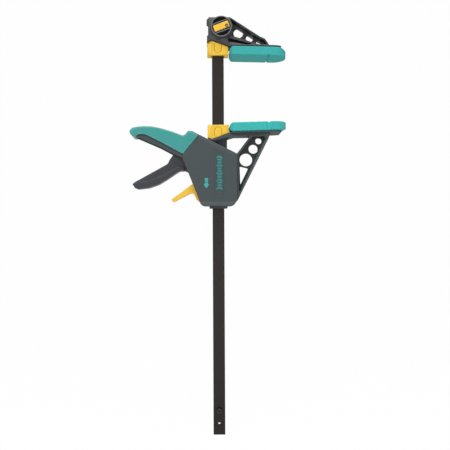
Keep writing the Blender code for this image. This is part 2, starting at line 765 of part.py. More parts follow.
def head_outline():
    left = -HALF_BAR - HEAD_WALL
    corners = [(left - out * HEAD_BULGE, HEAD_TOP - down * HEAD_HEIGHT, fillet * HEAD_CORNER)
               for out, down, fillet in HEAD_LEFT_SHARES]
    seat = collar_profile(FIXED_COLLAR, FIT)
    back = level(FIXED_JAW, FLANGE_SEAT + FLANGE_THICKNESS / 2)
    end = PAD_START + HEAD_REACH
    corners += [(*seat[4], 0), (*seat[3], 0), (*seat[2], 0), (seat[2][0], back, 0)]
    corners += [(end, back - (end - PAD_START) * math.tan(JAW_TOE), 0)]
    return corners + list(reversed(on_head(HEAD_TOP_SHARES)))


def make_head(look):
    half = HEAD_DEPTH / 2
    past = half + OVERRUN
    knob = (KNOB_OFFSET, KNOB_HEIGHT)
    outlines = [rounded(head_outline())]
    for along, down, size in HEAD_HOLE_SHARES:
        place = (PAD_START + along * HEAD_REACH, HEAD_TOP - down * HEAD_ARM_HEIGHT)
        outlines.append(circle(place, size * HEAD_REACH))
    made = soften(extruded("fixed_jaw", outlines, -half, half, look), HEAD_EDGE, 1)
    join(made, flange("head_flange", FIXED_JAW), rail("head_rail", FIXED_JAW, 0, 0))
    for way in (-1, 1):
        ends = sorted((way * HEAD_WEB / 2, way * past))
        upper = rounded(grown(on_head(HEAD_UPPER_SHARES), -HEAD_RIB))
        recess = extruded("head_recess", [upper], ends[0], ends[1])
        cut(recess, cross_rod("head_recess_end", BOSS_RADIUS + FIT, knob, -past - SINK,
                              past + SINK))
        lower = rounded(on_head(HEAD_LOWER_SHARES))
        cut(made, recess, extruded("head_lower_recess", [lower], ends[0], ends[1]))
    lip = KNOB_RADIUS + FIT + BOSS_LIP
    boss = [(0, -BOSS_FRONT), (lip, -BOSS_FRONT), (BOSS_RADIUS, SINK - half), (BOSS_RADIUS, 0),
            (0, 0)]
    join(made, turned("head_boss", boss, knob, None, ROUND_SIDES))
    floor = -KNOB_BACK + FIT
    skirt = KNOB_BACK + KNOB_SKIRT_HEIGHT + FIT
    cut(made, cross_rod("knob_bore", KNOB_RADIUS + FIT, knob, -BOSS_FRONT - OVERRUN, floor))
    cut(made, cross_rod("skirt_bore", KNOB_RADIUS + KNOB_SKIRT + FIT, knob, -skirt, floor))
    pin = (0, KNOB_HEIGHT)
    pin_end = BAR_THICKNESS / 2 + LOCK_PIN_SOCKET
    cut(made, cross_rod("pin_bore", LOCK_PIN_RADIUS + FIT, pin, floor - OVERRUN, pin_end,
                        None, SMALL_SIDES))
    # The ear over the bar's back is narrower than the head
    for way in (-1, 1):
        ends = sorted((way * HEAD_EAR_DEPTH / 2, way * past))
        left = -HALF_BAR - HEAD_WALL + 2 * FIT
        cut(made, box("head_ear_side", (left - HEAD_BULGE - OVERRUN, left), ends,
                      (HEAD_TOP - HEAD_EAR_BOTTOM, HEAD_TOP + OVERRUN)))
    return cut(made, bar_slot("head_bar_slot", FIXED_FACE, HEAD_TOP + OVERRUN))


# Knob, its insert and rivet, and the pin that it draws out of the bar

def turn_knob(made):
    return turn_about(made, -KNOB_TILT, (KNOB_OFFSET, KNOB_HEIGHT))


def make_knob(look):
    knob = (KNOB_OFFSET, KNOB_HEIGHT)
    inner = KNOB_RADIUS - KNOB_RIM
    floor = -KNOB_FRONT + KNOB_POCKET_DEPTH
    made = soften(cross_rod("lock_knob", KNOB_RADIUS, knob, -KNOB_FRONT, -KNOB_BACK, look),
                  KNOB_EDGE)
    join(made, cross_rod("knob_skirt", KNOB_RADIUS + KNOB_SKIRT, knob,
                         -KNOB_BACK - KNOB_SKIRT_HEIGHT, -KNOB_BACK))
    pocket = cross_rod("knob_pocket", inner, knob, -KNOB_FRONT - OVERRUN, floor)
    ridge_front = -KNOB_FRONT + KNOB_RIDGE_SETBACK
    half = KNOB_RIDGE_WIDTH / 2
    cut(pocket, box("knob_ridge", (KNOB_OFFSET - KNOB_RADIUS, KNOB_OFFSET + KNOB_RADIUS),
                    (ridge_front, floor + OVERRUN), (KNOB_HEIGHT - half, KNOB_HEIGHT + half)))
    cut(made, pocket)
    cut(made, cross_rod("knob_hollow", inner, knob, floor + KNOB_FLOOR, -KNOB_BACK + OVERRUN))
    cut(made, insert_block("knob_insert_seat", FIT, ridge_front - OVERRUN, insert_back() + FIT))
    for helper in made.modifiers:
        if helper.type == "BOOLEAN":
            turn_knob(helper.object)
            for inner_step in helper.object.modifiers:
                if inner_step.type == "BOOLEAN":
                    turn_knob(inner_step.object)
    return turn_knob(made)


def insert_front():
    return -KNOB_FRONT + KNOB_RIDGE_SETBACK - INSERT_STAND


def insert_back():
    return insert_front() + INSERT_DEPTH


def insert_block(name, gap, near, far, look=None):
    half_length = INSERT_LENGTH / 2 + gap
    half_width = INSERT_WIDTH / 2 + gap
    outline = rectangle(KNOB_OFFSET - half_length, KNOB_OFFSET + half_length,
                        KNOB_HEIGHT - half_width, KNOB_HEIGHT + half_width, INSERT_CORNER + gap)
    return extruded(name, [rounded(outline)], near, far, look)


def rivet_place():
    return (KNOB_OFFSET + INSERT_HOLE_ALONG, KNOB_HEIGHT - INSERT_HOLE_ACROSS)


def make_insert(look):
    made = soften(insert_block("knob_insert", 0, insert_front(), insert_back(), look),
                  KNOB_EDGE, 1)
    hole = cross_rod("insert_hole", INSERT_HOLE_RADIUS, rivet_place(),
                     insert_front() - OVERRUN, insert_back() + OVERRUN, None, SMALL_SIDES)
    cut(made, turn_knob(hole))
    return turn_knob(made)


def make_rivet(look):
    made = cross_rod("knob_rivet", RIVET_RADIUS, rivet_place(), insert_front() + RIVET_SETBACK,
                     insert_back(), look, SMALL_SIDES)
    return soften(turn_knob(made), KNOB_EDGE, 2)


def make_lock_pin(look):
    head_back = -KNOB_BACK
    head_front = head_back - LOCK_PIN_HEAD_HEIGHT
    tip = LOCK_PIN_REACH - BAR_THICKNESS / 2
    profile = [(0, head_front), (LOCK_PIN_HEAD_RADIUS, head_front),
               (LOCK_PIN_HEAD_RADIUS, head_back), (LOCK_PIN_RADIUS, head_back),
               (LOCK_PIN_RADIUS, tip - KNOB_EDGE), (LOCK_PIN_RADIUS - KNOB_EDGE, tip), (0, tip)]
    return turned("lock_pin", profile, (0, KNOB_HEIGHT), look)


# Housing and handle. Their left side is given as shares of the handle's reach from the bar
# and of the housing's height, with fillets as shares of the shell's corner.

HANDLE_SHARES = ((0.470, 0.696, 1.0), (0.630, 0.791, 4.0), (0.903, 0.924, 1.0),
                 (0.961, 0.950, 1.0), (0.970, 1.000, 1.0), (0.929, 1.030, 1.5),
                 (0.837, 1.037, 4.0), (0.723, 1.034, 4.0), (0.627, 1.014, 4.0),
                 (0.475, 0.962, 4.0), (0.387, 0.920, 2.0), (0.340, 0.914, 1.0),
                 (0.309, 0.937, 1.0), (0.285, 0.978, 1.0), (0.252, 1.000, 0.4))
HANDLE_ROOT_SHARES = ((0.120, 0.750, 0.0), (0.300, 0.608, 0.0))
HOUSING_LEFT_SHARES = ((0.1356, 0.000, 2.2), (0.238, 0.296, 1.0),
                       (0.292, 0.449, 1.0), (0.362, 0.632, 0.2))
GRIP_SHARES = ((1.000, 0.990, 0.5), (0.968, 1.040, 1.0), (0.838, 1.060, 3.0),
               (0.723, 1.055, 3.0), (0.627, 1.034, 3.0), (0.474, 0.984, 3.0),
               (0.380, 0.942, 1.0), (0.349, 0.934, 0.8), (0.323, 0.955, 0.8),
               (0.291, 0.999, 0.3), (0.266, 0.995, 0.2), (0.167, 0.936, 0.15),
               (0.354, 0.688, 0.15), (0.628, 0.851, 3.0), (0.807, 0.949, 1.0),
               (0.877, 0.953, 0.6), (0.926, 0.928, 0.15), (0.971, 0.936, 0.5))
HANDLE_CAVITY_SHARES = ((0.887, 0.945, 0.0), (0.851, 1.004, 0.4), (0.723, 1.007, 1.0),
                        (0.624, 0.987, 1.0), (0.468, 0.936, 1.0), (0.383, 0.893, 0.4),
                        (0.330, 0.885, 0.4), (0.287, 0.914, 0.4), (0.259, 0.958, 0.2),
                        (0.230, 0.955, 0.2), (0.142, 0.890, 0.0), (0.142, 0.694, 0.0),
                        (0.298, 0.616, 0.0), (0.333, 0.647, 0.0), (0.468, 0.725, 0.0),
                        (0.630, 0.820, 0.0))
TRIGGER_MOUTH_SHARES = ((0.879, 0.961, 0.0), (0.610, 0.843, 0.0), (0.340, 0.694, 0.0),
                        (0.284, 0.553, 0.0), (0.255, 0.435, 0.0), (0.340, 0.404, 0.0),
                        (0.426, 0.553, 0.0), (0.638, 0.694, 0.0), (0.922, 0.851, 0.0))
RELEASE_MOUTH_SHARES = ((0.199, 0.333, 0.0), (0.298, 0.333, 0.0), (0.298, 0.042, 0.0),
                        (0.131, 0.042, 0.0), (0.131, 0.082, 0.0))
SIDE_LOW_SHARE = 0.078
BOTTOM_RIGHT_SHARE = 0.82
SHELF_LEFT_SHARE = 0.258
HANDLE_SCREW_SHARES = ((0.837, 0.969, 0.0),)


def on_left(shares, corner=SHELL_CORNER):
    return [(-HALF_BAR - out * HANDLE_REACH, HOUSING_BOTTOM + up * HOUSING_HEIGHT,
             fillet * corner) for out, up, fillet in shares]


def side_corners():
    # The housing's right side, from its top to the bottom edge
    return [(HOUSING_SIDE, SIDE_TOP, 0),
            (HOUSING_SIDE, HOUSING_BOTTOM + SIDE_LOW_SHARE * HOUSING_HEIGHT, SHELL_CORNER),
            (HOUSING_SIDE * BOTTOM_RIGHT_SHARE, HOUSING_BOTTOM, 2 * SHELL_CORNER)]


def top_line():
    # The slanted top runs from the horn over the handle to the housing's right side
    return Vector(on_left(HANDLE_SHARES)[-1][:2]), Vector(side_corners()[0][:2])


def top_edge(x):
    horn, side = top_line()
    return horn.y + (x - horn.x) * (side.y - horn.y) / (side.x - horn.x)


def handle_corners():
    # The handle's core, with a root that ends inside the housing
    root = on_left(HANDLE_ROOT_SHARES)
    inner = root[0][0]
    return on_left(HANDLE_SHARES) + [(inner, top_edge(inner) - FIT, 0)] + root


def housing_corners():
    # The full-depth housing, which stops at the grip's slanted edge
    grip = grown(on_left(GRIP_SHARES), FIT)
    line = (grip[11][:2], grip[12][:2])
    top = meeting(*line, *top_line())
    return [(top.x, top.y, 0)] + side_corners() + on_left(HOUSING_LEFT_SHARES) + [(*line[1], 0)]


def cut_bands(made, side):
    # The broad chamfers along the housing's top and bottom edges
    horn, right = top_line()
    run = right - horn
    past = side * (HOUSING_HALF_DEPTH + OVERRUN)
    slope = TOP_BAND_DEPTH / TOP_BAND
    inner = side * (HOUSING_HALF_DEPTH - TOP_BAND_DEPTH - OVERRUN * slope)
    band = [(past, -TOP_BAND - OVERRUN / slope), (inner, OVERRUN), (past, OVERRUN)]
    prism = extruded("top_band", [band], 0, run.length + OVERRUN, None, "end")
    prism.data.transform(Matrix.Translation((horn.x, 0, horn.y))
                         @ Matrix.Rotation(math.atan2(-run.y, run.x), 4, "Y"))
    low = HOUSING_BOTTOM
    slope = BOTTOM_BAND_DEPTH / BOTTOM_BAND
    inner = side * (HOUSING_HALF_DEPTH - BOTTOM_BAND_DEPTH - OVERRUN * slope)
    band = [(past, low + BOTTOM_BAND + OVERRUN / slope), (inner, low - OVERRUN),
            (past, low - OVERRUN)]
    left = on_left(HOUSING_LEFT_SHARES)[0][0] - SHELL_CORNER
    return cut(made, prism, extruded("bottom_band", [band], left, HOUSING_SIDE + OVERRUN,
                                     None, "end"))


def screw_places():
    # Where the screws go, and whether each is in the housing or in the thinner handle
    low = HOUSING_BOTTOM
    boss = SCREW_BOSS_RADIUS + SHELL_WALL
    handle = on_left(HANDLE_SCREW_SHARES)[0]
    return [((-HALF_BAR - PLATE_OVERHANG - boss / 2, top_edge(-PLATE_END) - 2 * boss), True),
            ((HOUSING_SIDE - boss - SINK, low + boss + SINK), True),
            ((-HALF_BAR - PLATE_OVERHANG + SCREW_HEAD_RADIUS,
              low + SHELF_HEIGHT - boss), True),
            ((HOUSING_SIDE - boss + SINK, SHELF_TOP + boss), True),
            (handle[:2], False)]


def pin_places():
    return (((TRIGGER_X, TRIGGER_Z), TRIGGER_PIN_RADIUS),
            ((RELEASE_X, RELEASE_Z), RELEASE_PIN_RADIUS))


def screw_seat(in_housing):
    face = HOUSING_HALF_DEPTH if in_housing else HANDLE_HALF_DEPTH
    return face - SCREW_SINK - SCREW_HEAD_HEIGHT


def half_shell(name, side, look):
    # One half of the housing and handle: side is -1 for the front and 1 for the rear.
    # Every piece is drawn past the parting plane and trimmed there at the end.

    def slab(part, corners, depth, start):
        ends = sorted((-side * start, side * depth))
        return extruded(name + part, [rounded(corners)], ends[0], ends[1])

    made = slab("", handle_corners(), HANDLE_HALF_DEPTH, OVERRUN)
    made.data.materials.append(look)
    soften(made, SHELL_EDGE, 1)
    housing = soften(slab("_housing", housing_corners(), HOUSING_HALF_DEPTH, 2 * OVERRUN),
                     SHELL_EDGE, 1)
    join(made, cut_bands(housing, side))
    rooms = {"_room": (grown(housing_corners(), -SHELL_WALL), HOUSING_CAVITY),
             "_handle_room": (on_left(HANDLE_CAVITY_SHARES), HANDLE_CAVITY),
             "_trigger_mouth": (on_left(TRIGGER_MOUTH_SHARES), HANDLE_CAVITY - FIT),
             "_release_mouth": (on_left(RELEASE_MOUTH_SHARES), HANDLE_CAVITY - FIT)}
    for part, (corners, depth) in rooms.items():
        cut(made, slab(part, corners, depth, 3 * OVERRUN))

    inside = side * (HOUSING_CAVITY + SINK)
    depth = sorted((0, inside))
    shelf_left = -HALF_BAR - SHELF_LEFT_SHARE * HANDLE_REACH
    wall = HOUSING_SIDE - SHELL_WALL / 2
    stop = BRAKE_X - BRAKE_STOP_LENGTH
    offset = PLATE_THICKNESS / 2 + BRAKE_STOP_GAP
    ribs = [box(name + "_shelf", (shelf_left, wall), depth,
                (SHELF_TOP - SHELF_THICKNESS, SHELF_TOP))]
    for low in (BRAKE_Z + offset, BRAKE_Z - offset - SHELL_WALL):
        ribs.append(box(name + "_stop", (stop, wall), depth, (low, low + SHELL_WALL)))
    bosses = []
    for place, in_housing in screw_places():
        cavity = HOUSING_CAVITY if in_housing else HANDLE_CAVITY
        bosses.append(cross_rod(name + "_boss", SCREW_BOSS_RADIUS, place, 0,
                                side * (cavity + SINK), None, SMALL_SIDES))
    for place, radius in pin_places():
        bosses.append(cross_rod(name + "_pin_socket", radius + PIN_SOCKET_WALL, place,
                                side * (HOUSING_CAVITY - PIN_SOCKET_HEIGHT), inside))
    join(made, together(name + "_ribs", ribs), together(name + "_bosses", bosses))
    parting = sorted((-side * 4 * OVERRUN, side * FIT / 2))
    far = -HALF_BAR - HANDLE_REACH - OVERRUN
    return cut(made, box(name + "_parting", (far, HOUSING_SIDE + OVERRUN), parting,
                         (HOUSING_BOTTOM - OVERRUN, MOVING_FACE)))


def finish_shell(made, side):
    # Holes that go through ribs and bosses are cut once everything is joined
    name = made.name
    end = side * (HOUSING_HALF_DEPTH - PIN_FACE_WALL)
    bores = [cross_rod(name + "_pin_bore", radius + FIT, place, 0, end, None, SMALL_SIDES)
             for place, radius in pin_places()]
    for place, in_housing in screw_places():
        seat = screw_seat(in_housing)
        tip = seat - SCREW_LENGTH - FIT
        bores.append(cross_rod(name + "_screw_bore", SCREW_RADIUS + FIT, place, tip,
                               seat, None, SMALL_SIDES))
    cut(made, together(name + "_bores", bores))
    if side > 0:
        heads = [cross_rod(name + "_screw_head", SCREW_HEAD_RADIUS + FIT, place,
                           screw_seat(in_housing) - FIT, HOUSING_HALF_DEPTH + OVERRUN,
                           None, SMALL_SIDES) for place, in_housing in screw_places()]
        cut(made, together(name + "_screw_heads", heads))
    neck = guide_size(FIT)
    cut(made, box(name + "_guide_hole", neck[0], neck[1], (HOUSING_BOTTOM - OVERRUN, FLOOR + SINK)))
    return cut(made, bar_slot(name + "_bar_slot", HOUSING_BOTTOM - OVERRUN, MOVING_FACE))


def make_front_cover(look):
    made = half_shell("front_cover", -1, look)
    half = PANEL_WIDTH / 2
    left = PANEL_OFFSET - half
    right = PANEL_OFFSET + half
    gap = TOP_BAND + PANEL_TOP_GAP
    panel = [(left, HOUSING_BOTTOM + PANEL_LOW, PANEL_CORNER),
             (right, HOUSING_BOTTOM + PANEL_LOW, PANEL_CORNER),
             (right, top_edge(right) - gap, PANEL_CORNER),
             (left, top_edge(left) - gap, PANEL_CORNER)]
    cut(made, extruded("front_cover_panel", [rounded(panel)], -HOUSING_HALF_DEPTH - OVERRUN,
                       -HOUSING_HALF_DEPTH + PANEL_DEPTH))
    return finish_shell(made, -1)


# Moving jaw: a ribbed truss with a web, from shares of its reach past the housing's side
# and of its depth under the flange

TRUSS_OPENING_SHARES = ((-0.292, 0.058, 0.3), (-0.08, 0.028, 1.0), (0.410, 0.026, 0.5),
                        (0.007, 0.268, 0.0), (0.007, 0.337, 0.0), (-0.292, 0.275, 0.0))
TRUSS_ARM_RECESS_SHARES = ((-0.7345, 0.245, 0.0), (-0.7345, 0.115, 0.0), (-0.2655, 0.048, 0.0),
                           (-0.2655, 0.245, 0.0))
TRUSS_RECESS_SHARES = ((0.490, 0.036, 0.6), (0.875, 0.036, 1.0), (0.078, 0.806, 0.4),
                       (0.054, 0.792, 0.3), (0.054, 0.293, 0.5))
TRUSS_HOLE_SHARES = ((0.665, 0.089, 0.096), (0.504, 0.201, 0.140), (0.283, 0.351, 0.195))
TRUSS_SLOT_SHARES = ((0.092, 0.443, 0.5), (0.350, 0.472, 0.5), (0.108, 0.704, 0.3))
TRUSS_EDGE_SHARES = ((1.0, 0.0, 1.5), (0.938, 0.076, 1.5), (0.0, 0.930, 0.0))


def on_truss(shares):
    top = level(MOVING_JAW, FLANGE_BACK)
    return [(HOUSING_SIDE + along * TRUSS_REACH, top - down * TRUSS_HEIGHT,
             fillet * TRUSS_CORNER) for along, down, fillet in shares]


def truss_corners():
    # The arm over the housing and the triangle beside it, both rooted in the housing's wall
    seat = collar_profile(MOVING_COLLAR, FIT)
    rise = (ARM_LEFT - COLLAR_TIP_PLACE) * math.tan(SHOULDER_SLOPE)
    back = level(MOVING_JAW, FLANGE_SEAT + FLANGE_THICKNESS / 2)
    junction, outer, foot = on_truss(TRUSS_EDGE_SHARES)
    end = junction[0]
    root = HOUSING_SIDE - SINK
    return [(-ARM_LEFT, seat[3][1] + rise, 0), (*seat[3], 0), (*seat[2], 0),
            (seat[2][0], back, 0), (end, back + (end - PAD_START) * math.tan(JAW_TOE), 0),
            junction, outer, (HOUSING_SIDE + 2 * FIT, foot[1] + FIT, 0),
            (root, foot[1] + SINK, 0), (root, top_edge(root) - SINK, 0),
            (-ARM_LEFT, top_edge(-ARM_LEFT) - SINK, 0)]


def make_truss():
    # The truss in its full thickness, cleared in front of the parting plane for the cover
    half = TRUSS_DEPTH / 2
    outlines = [rounded(truss_corners()), rounded(on_truss(TRUSS_SLOT_SHARES))]
    for along, down, size in TRUSS_HOLE_SHARES:
        outlines.append(circle(on_truss(((along, down, 0),))[0][:2], size * TRUSS_REACH))
    made = soften(extruded("truss", outlines, -half, half), TRUSS_EDGE, 1)
    left = -ARM_LEFT - OVERRUN
    right = HOUSING_SIDE + FIT
    low = HOUSING_BOTTOM
    cover = [(left, top_edge(left) + FIT), (right, top_edge(right) + FIT), (right, low), (left, low)]
    cut(made, extruded("truss_cover_room", [cover], -TRUSS_DEPTH, SINK))
    opening = rounded(on_truss(TRUSS_OPENING_SHARES))
    cut(made, extruded("truss_opening", [opening], -TRUSS_DEPTH, TRUSS_DEPTH))
    arm_recess = rounded(on_truss(TRUSS_ARM_RECESS_SHARES))
    cut(made, extruded("truss_arm_recess", [arm_recess], -TRUSS_DEPTH,
                       -SLOT_HALF_DEPTH - TRUSS_ARM_WALL))
    recess = rounded(on_truss(TRUSS_RECESS_SHARES))
    for way in (-1, 1):
        ends = sorted((way * TRUSS_WEB / 2, way * TRUSS_DEPTH))
        cut(made, extruded("truss_recess", [recess], ends[0], ends[1]))
    return made


def make_jaw_body(look):
    made = half_shell("jaw_body", 1, look)
    join(made, make_truss(), flange("moving_flange", MOVING_JAW),
         rail("moving_rail", MOVING_JAW, 0, 0))
    return finish_shell(made, 1)


# Grip

def make_grip(look):
    outline = rounded(on_left(GRIP_SHARES, GRIP_CORNER))
    made = extruded("grip_cover", [outline], -GRIP_HALF_DEPTH, GRIP_HALF_DEPTH, look)
    soften(made, GRIP_EDGE, 3)
    inner = HANDLE_HALF_DEPTH + FIT
    core = rounded(grown(handle_corners(), FIT))
    return cut(made, extruded("grip_core", [core], -inner, inner))


# Trigger, from shares of its reach and drop measured from its pivot

TRIGGER_SHARES = ((0.366, -0.091, 0.5), (0.424, 0.067, 1.0), (0.455, 0.200, 1.0),
                  (0.507, 0.261, 2.0), (0.980, 0.795, 0.3), (0.985, 0.830, 0.3),
                  (0.945, 0.945, 1.0), (0.905, 0.970, 1.0), (0.753, 0.935, 3.0),
                  (0.600, 0.828, 3.0), (0.482, 0.684, 3.0), (0.387, 0.555, 2.0),
                  (0.290, 0.420, 1.5), (0.240, 0.395, 1.0), (0.192, 0.420, 1.0),
                  (0.130, 0.474, 0.3), (0.086, 0.435, 0.5), (0.040, 0.120, 0.5),
                  (0.000, 0.100, 0.0), (0.000, -0.130, 0.0), (0.306, -0.176, 0.5))
TRIGGER_FLANGE_SHARES = ((0.999, 0.833, 0.3), (0.954, 0.972, 1.0), (0.910, 0.998, 1.0),
                         (0.753, 0.963, 3.0), (0.597, 0.854, 3.0), (0.476, 0.706, 3.0),
                         (0.381, 0.576, 2.0), (0.285, 0.444, 1.5), (0.240, 0.419, 1.0),
                         (0.193, 0.436, 0.6), (0.200, 0.320, 0.6), (0.290, 0.300, 1.5),
                         (0.400, 0.420, 2.0), (0.577, 0.611, 3.0), (0.757, 0.750, 3.0),
                         (0.937, 0.800, 1.0))


def on_trigger(shares):
    return [(TRIGGER_X - out * TRIGGER_REACH, TRIGGER_Z - down * TRIGGER_DROP,
             fillet * TRIGGER_CORNER) for out, down, fillet in shares]


def make_trigger(look):
    half = TRIGGER_HALF_DEPTH
    wide = TRIGGER_FLANGE_HALF_DEPTH
    pivot = (TRIGGER_X, TRIGGER_Z)
    made = extruded("trigger", [rounded(on_trigger(TRIGGER_SHARES))], -half, half, look)
    soften(made, TRIGGER_EDGE / 2, 1)
    rim = extruded("trigger_flange", [rounded(on_trigger(TRIGGER_FLANGE_SHARES))], -wide, wide)
    join(made, soften(rim, TRIGGER_EDGE, 2))
    side = HOUSING_CAVITY - PIN_SOCKET_HEIGHT - PIN_SIDE_GAP
    join(made, cross_rod("trigger_boss", TRIGGER_BOSS_RADIUS, pivot, -side, side))
    nose = (NOSE_X, TRIGGER_Z + NOSE_RISE)
    neck = capsule(pivot, nose, NOSE_NECK_RADIUS)
    wide = NOSE_HALF_DEPTH
    join(made, extruded("trigger_neck", [neck], -wide + SINK, wide - SINK),
         cross_rod("trigger_nose", NOSE_RADIUS, nose, -wide, wide))
    return cut(made, cross_rod("trigger_bore", TRIGGER_PIN_RADIUS + FIT, pivot,
                               -HOUSING_HALF_DEPTH, HOUSING_HALF_DEPTH, None, SMALL_SIDES))


def make_pin(name, place, radius, look):
    end = HOUSING_HALF_DEPTH - PIN_FACE_WALL - FIT
    return soften(cross_rod(name, radius, place, -end, end, look, SMALL_SIDES), PLATE_EDGE, 1)


# Drive plates and brake plate

def steel_plate(name, height, look):
    half = PLATE_THICKNESS / 2
    outline = rectangle(-PLATE_END, PLATE_END, -PLATE_WIDTH / 2, PLATE_WIDTH / 2, TRUSS_CORNER)
    gap = PLATE_SLOT_GAP
    slot = rectangle(-HALF_BAR - gap, HALF_BAR + gap, -SLOT_HALF_DEPTH, SLOT_HALF_DEPTH)
    hole = [corner[:2] for corner in slot]
    made = extruded(name, [rounded(outline), hole], height - half, height + half, look, "plan")
    return soften(made, PLATE_EDGE, 1)


def drive_heights():
    # The heights at the bar's axis of the two plates under the trigger's nose
    nose = TRIGGER_Z + NOSE_RISE
    lift = (NOSE_RADIUS + FIT + PLATE_THICKNESS / 2) / math.cos(DRIVE_TILT)
    upper = nose - lift - NOSE_X * math.tan(DRIVE_TILT)
    return upper, upper - (PLATE_THICKNESS + FIT) / math.cos(DRIVE_TILT)


def drive_spring_top():
    edge = DRIVE_SPRING_RADIUS + DRIVE_SPRING_WIRE
    half = PLATE_THICKNESS / 2 / math.cos(DRIVE_TILT)
    return drive_heights()[1] - edge * math.tan(DRIVE_TILT) - half - FIT


def brake_spring_place():
    return (-HALF_BAR - BRAKE_SPRING_PLACE, 0)


def brake_spring_top():
    edge = brake_spring_place()[0] + BRAKE_SPRING_RADIUS + BRAKE_SPRING_WIRE
    return BRAKE_Z + (BRAKE_X - edge) * math.tan(BRAKE_TILT) - HALF_PLATE_RISE - FIT


# Release lever, from shares of its reach and drop measured from its pivot

RELEASE_SHARES = ((0.259, -0.791, 0.5), (0.996, 0.723, 0.3), (0.985, 0.850, 0.3),
                  (0.917, 0.960, 0.4), (0.303, 0.107, 1.0), (0.218, 0.203, 1.0),
                  (0.133, 0.723, 1.0), (0.030, 1.000, 0.5), (-0.03, 0.900, 0.3),
                  (-0.07, 0.300, 0.0), (0.040, -0.290, 0.0), (0.182, -0.650, 0.3))


def make_release_lever(look):
    half = RELEASE_HALF_DEPTH
    corners = [(RELEASE_X - out * RELEASE_REACH, RELEASE_Z - down * RELEASE_DROP,
                fillet * RELEASE_CORNER) for out, down, fillet in RELEASE_SHARES]
    pivot = (RELEASE_X, RELEASE_Z)
    made = soften(extruded("release_lever", [rounded(corners)], -half, half, look),
                  RELEASE_EDGE, 2)
    side = HOUSING_CAVITY - PIN_SOCKET_HEIGHT - PIN_SIDE_GAP
    join(made, cross_rod("release_boss", RELEASE_BOSS_RADIUS, pivot, -side, side))
    nose = (RELEASE_NOSE_X, RELEASE_Z + BRAKE_DROP / 2)
    wide = RELEASE_NOSE_HALF_DEPTH
    arm = capsule(pivot, nose, RELEASE_NECK_RADIUS)
    join(made, extruded("release_neck", [arm], -wide + SINK, wide - SINK),
         cross_rod("release_nose", RELEASE_NOSE_RADIUS, nose, -wide, wide))
    return cut(made, cross_rod("release_bore", RELEASE_PIN_RADIUS + FIT, pivot,
                               -HOUSING_HALF_DEPTH, HOUSING_HALF_DEPTH, None, SMALL_SIDES))


# Lower guide

def guide_size(gap):
    side = SLOT_HALF_WIDTH + GUIDE_SIDE_WALL + gap
    front = SLOT_HALF_DEPTH + GUIDE_FACE_WALL + gap
    return (-side, side), (-front, front)


def make_guide(look):
    neck = guide_size(0)
    rim = guide_size(GUIDE_FLANGE)
    low = HOUSING_BOTTOM - GUIDE_STAND
    seat = FLOOR + FIT
    top = seat + GUIDE_FLANGE_HEIGHT
    made = soften(box("lower_bar_guide", neck[0], neck[1], (low, top), look), GUIDE_EDGE)
    join(made, box("guide_flange", rim[0], rim[1], (seat, top)))
    return cut(made, bar_slot("guide_bar_slot", low - OVERRUN, top + OVERRUN))


# Screws

def make_screw(number, place, in_housing, look):
    seat = screw_seat(in_housing)
    tip = seat - SCREW_LENGTH
    name = "housing_screw_" + str(number)
    rows = [(0, tip), (SCREW_RADIUS - PLATE_EDGE, tip), (SCREW_RADIUS, tip + PLATE_EDGE),
            (SCREW_RADIUS, seat), (SCREW_HEAD_RADIUS, seat),
            (SCREW_HEAD_RADIUS, seat + SCREW_HEAD_HEIGHT - PLATE_EDGE),
            (SCREW_HEAD_RADIUS - PLATE_EDGE, seat + SCREW_HEAD_HEIGHT),
            (0, seat + SCREW_HEAD_HEIGHT)]
    made = turned(name, rows, place, look)
    top = seat + SCREW_HEAD_HEIGHT
    return cut(made, cross_rod(name + "_socket", SCREW_SOCKET_RADIUS, place,
                               top - SCREW_SOCKET_DEPTH, top + OVERRUN, None, 6))


# Assembly: each moving group hangs from an empty on its joint's axis

def joint_axis(name, place, parent=None):
    empty = bpy.data.objects.new(name, None)
    empty.empty_display_size = KNOB_RADIUS
    clamp.objects.link(empty)
    if parent:
        empty.parent = parent
        empty.matrix_parent_inverse = parent.matrix_world.inverted()
    empty.location = place
    bpy.context.view_layer.update()
    return empty


def carry(empty, *pieces):
    for piece in pieces:
        piece.parent = empty
        piece.matrix_parent_inverse = empty.matrix_world.inverted()


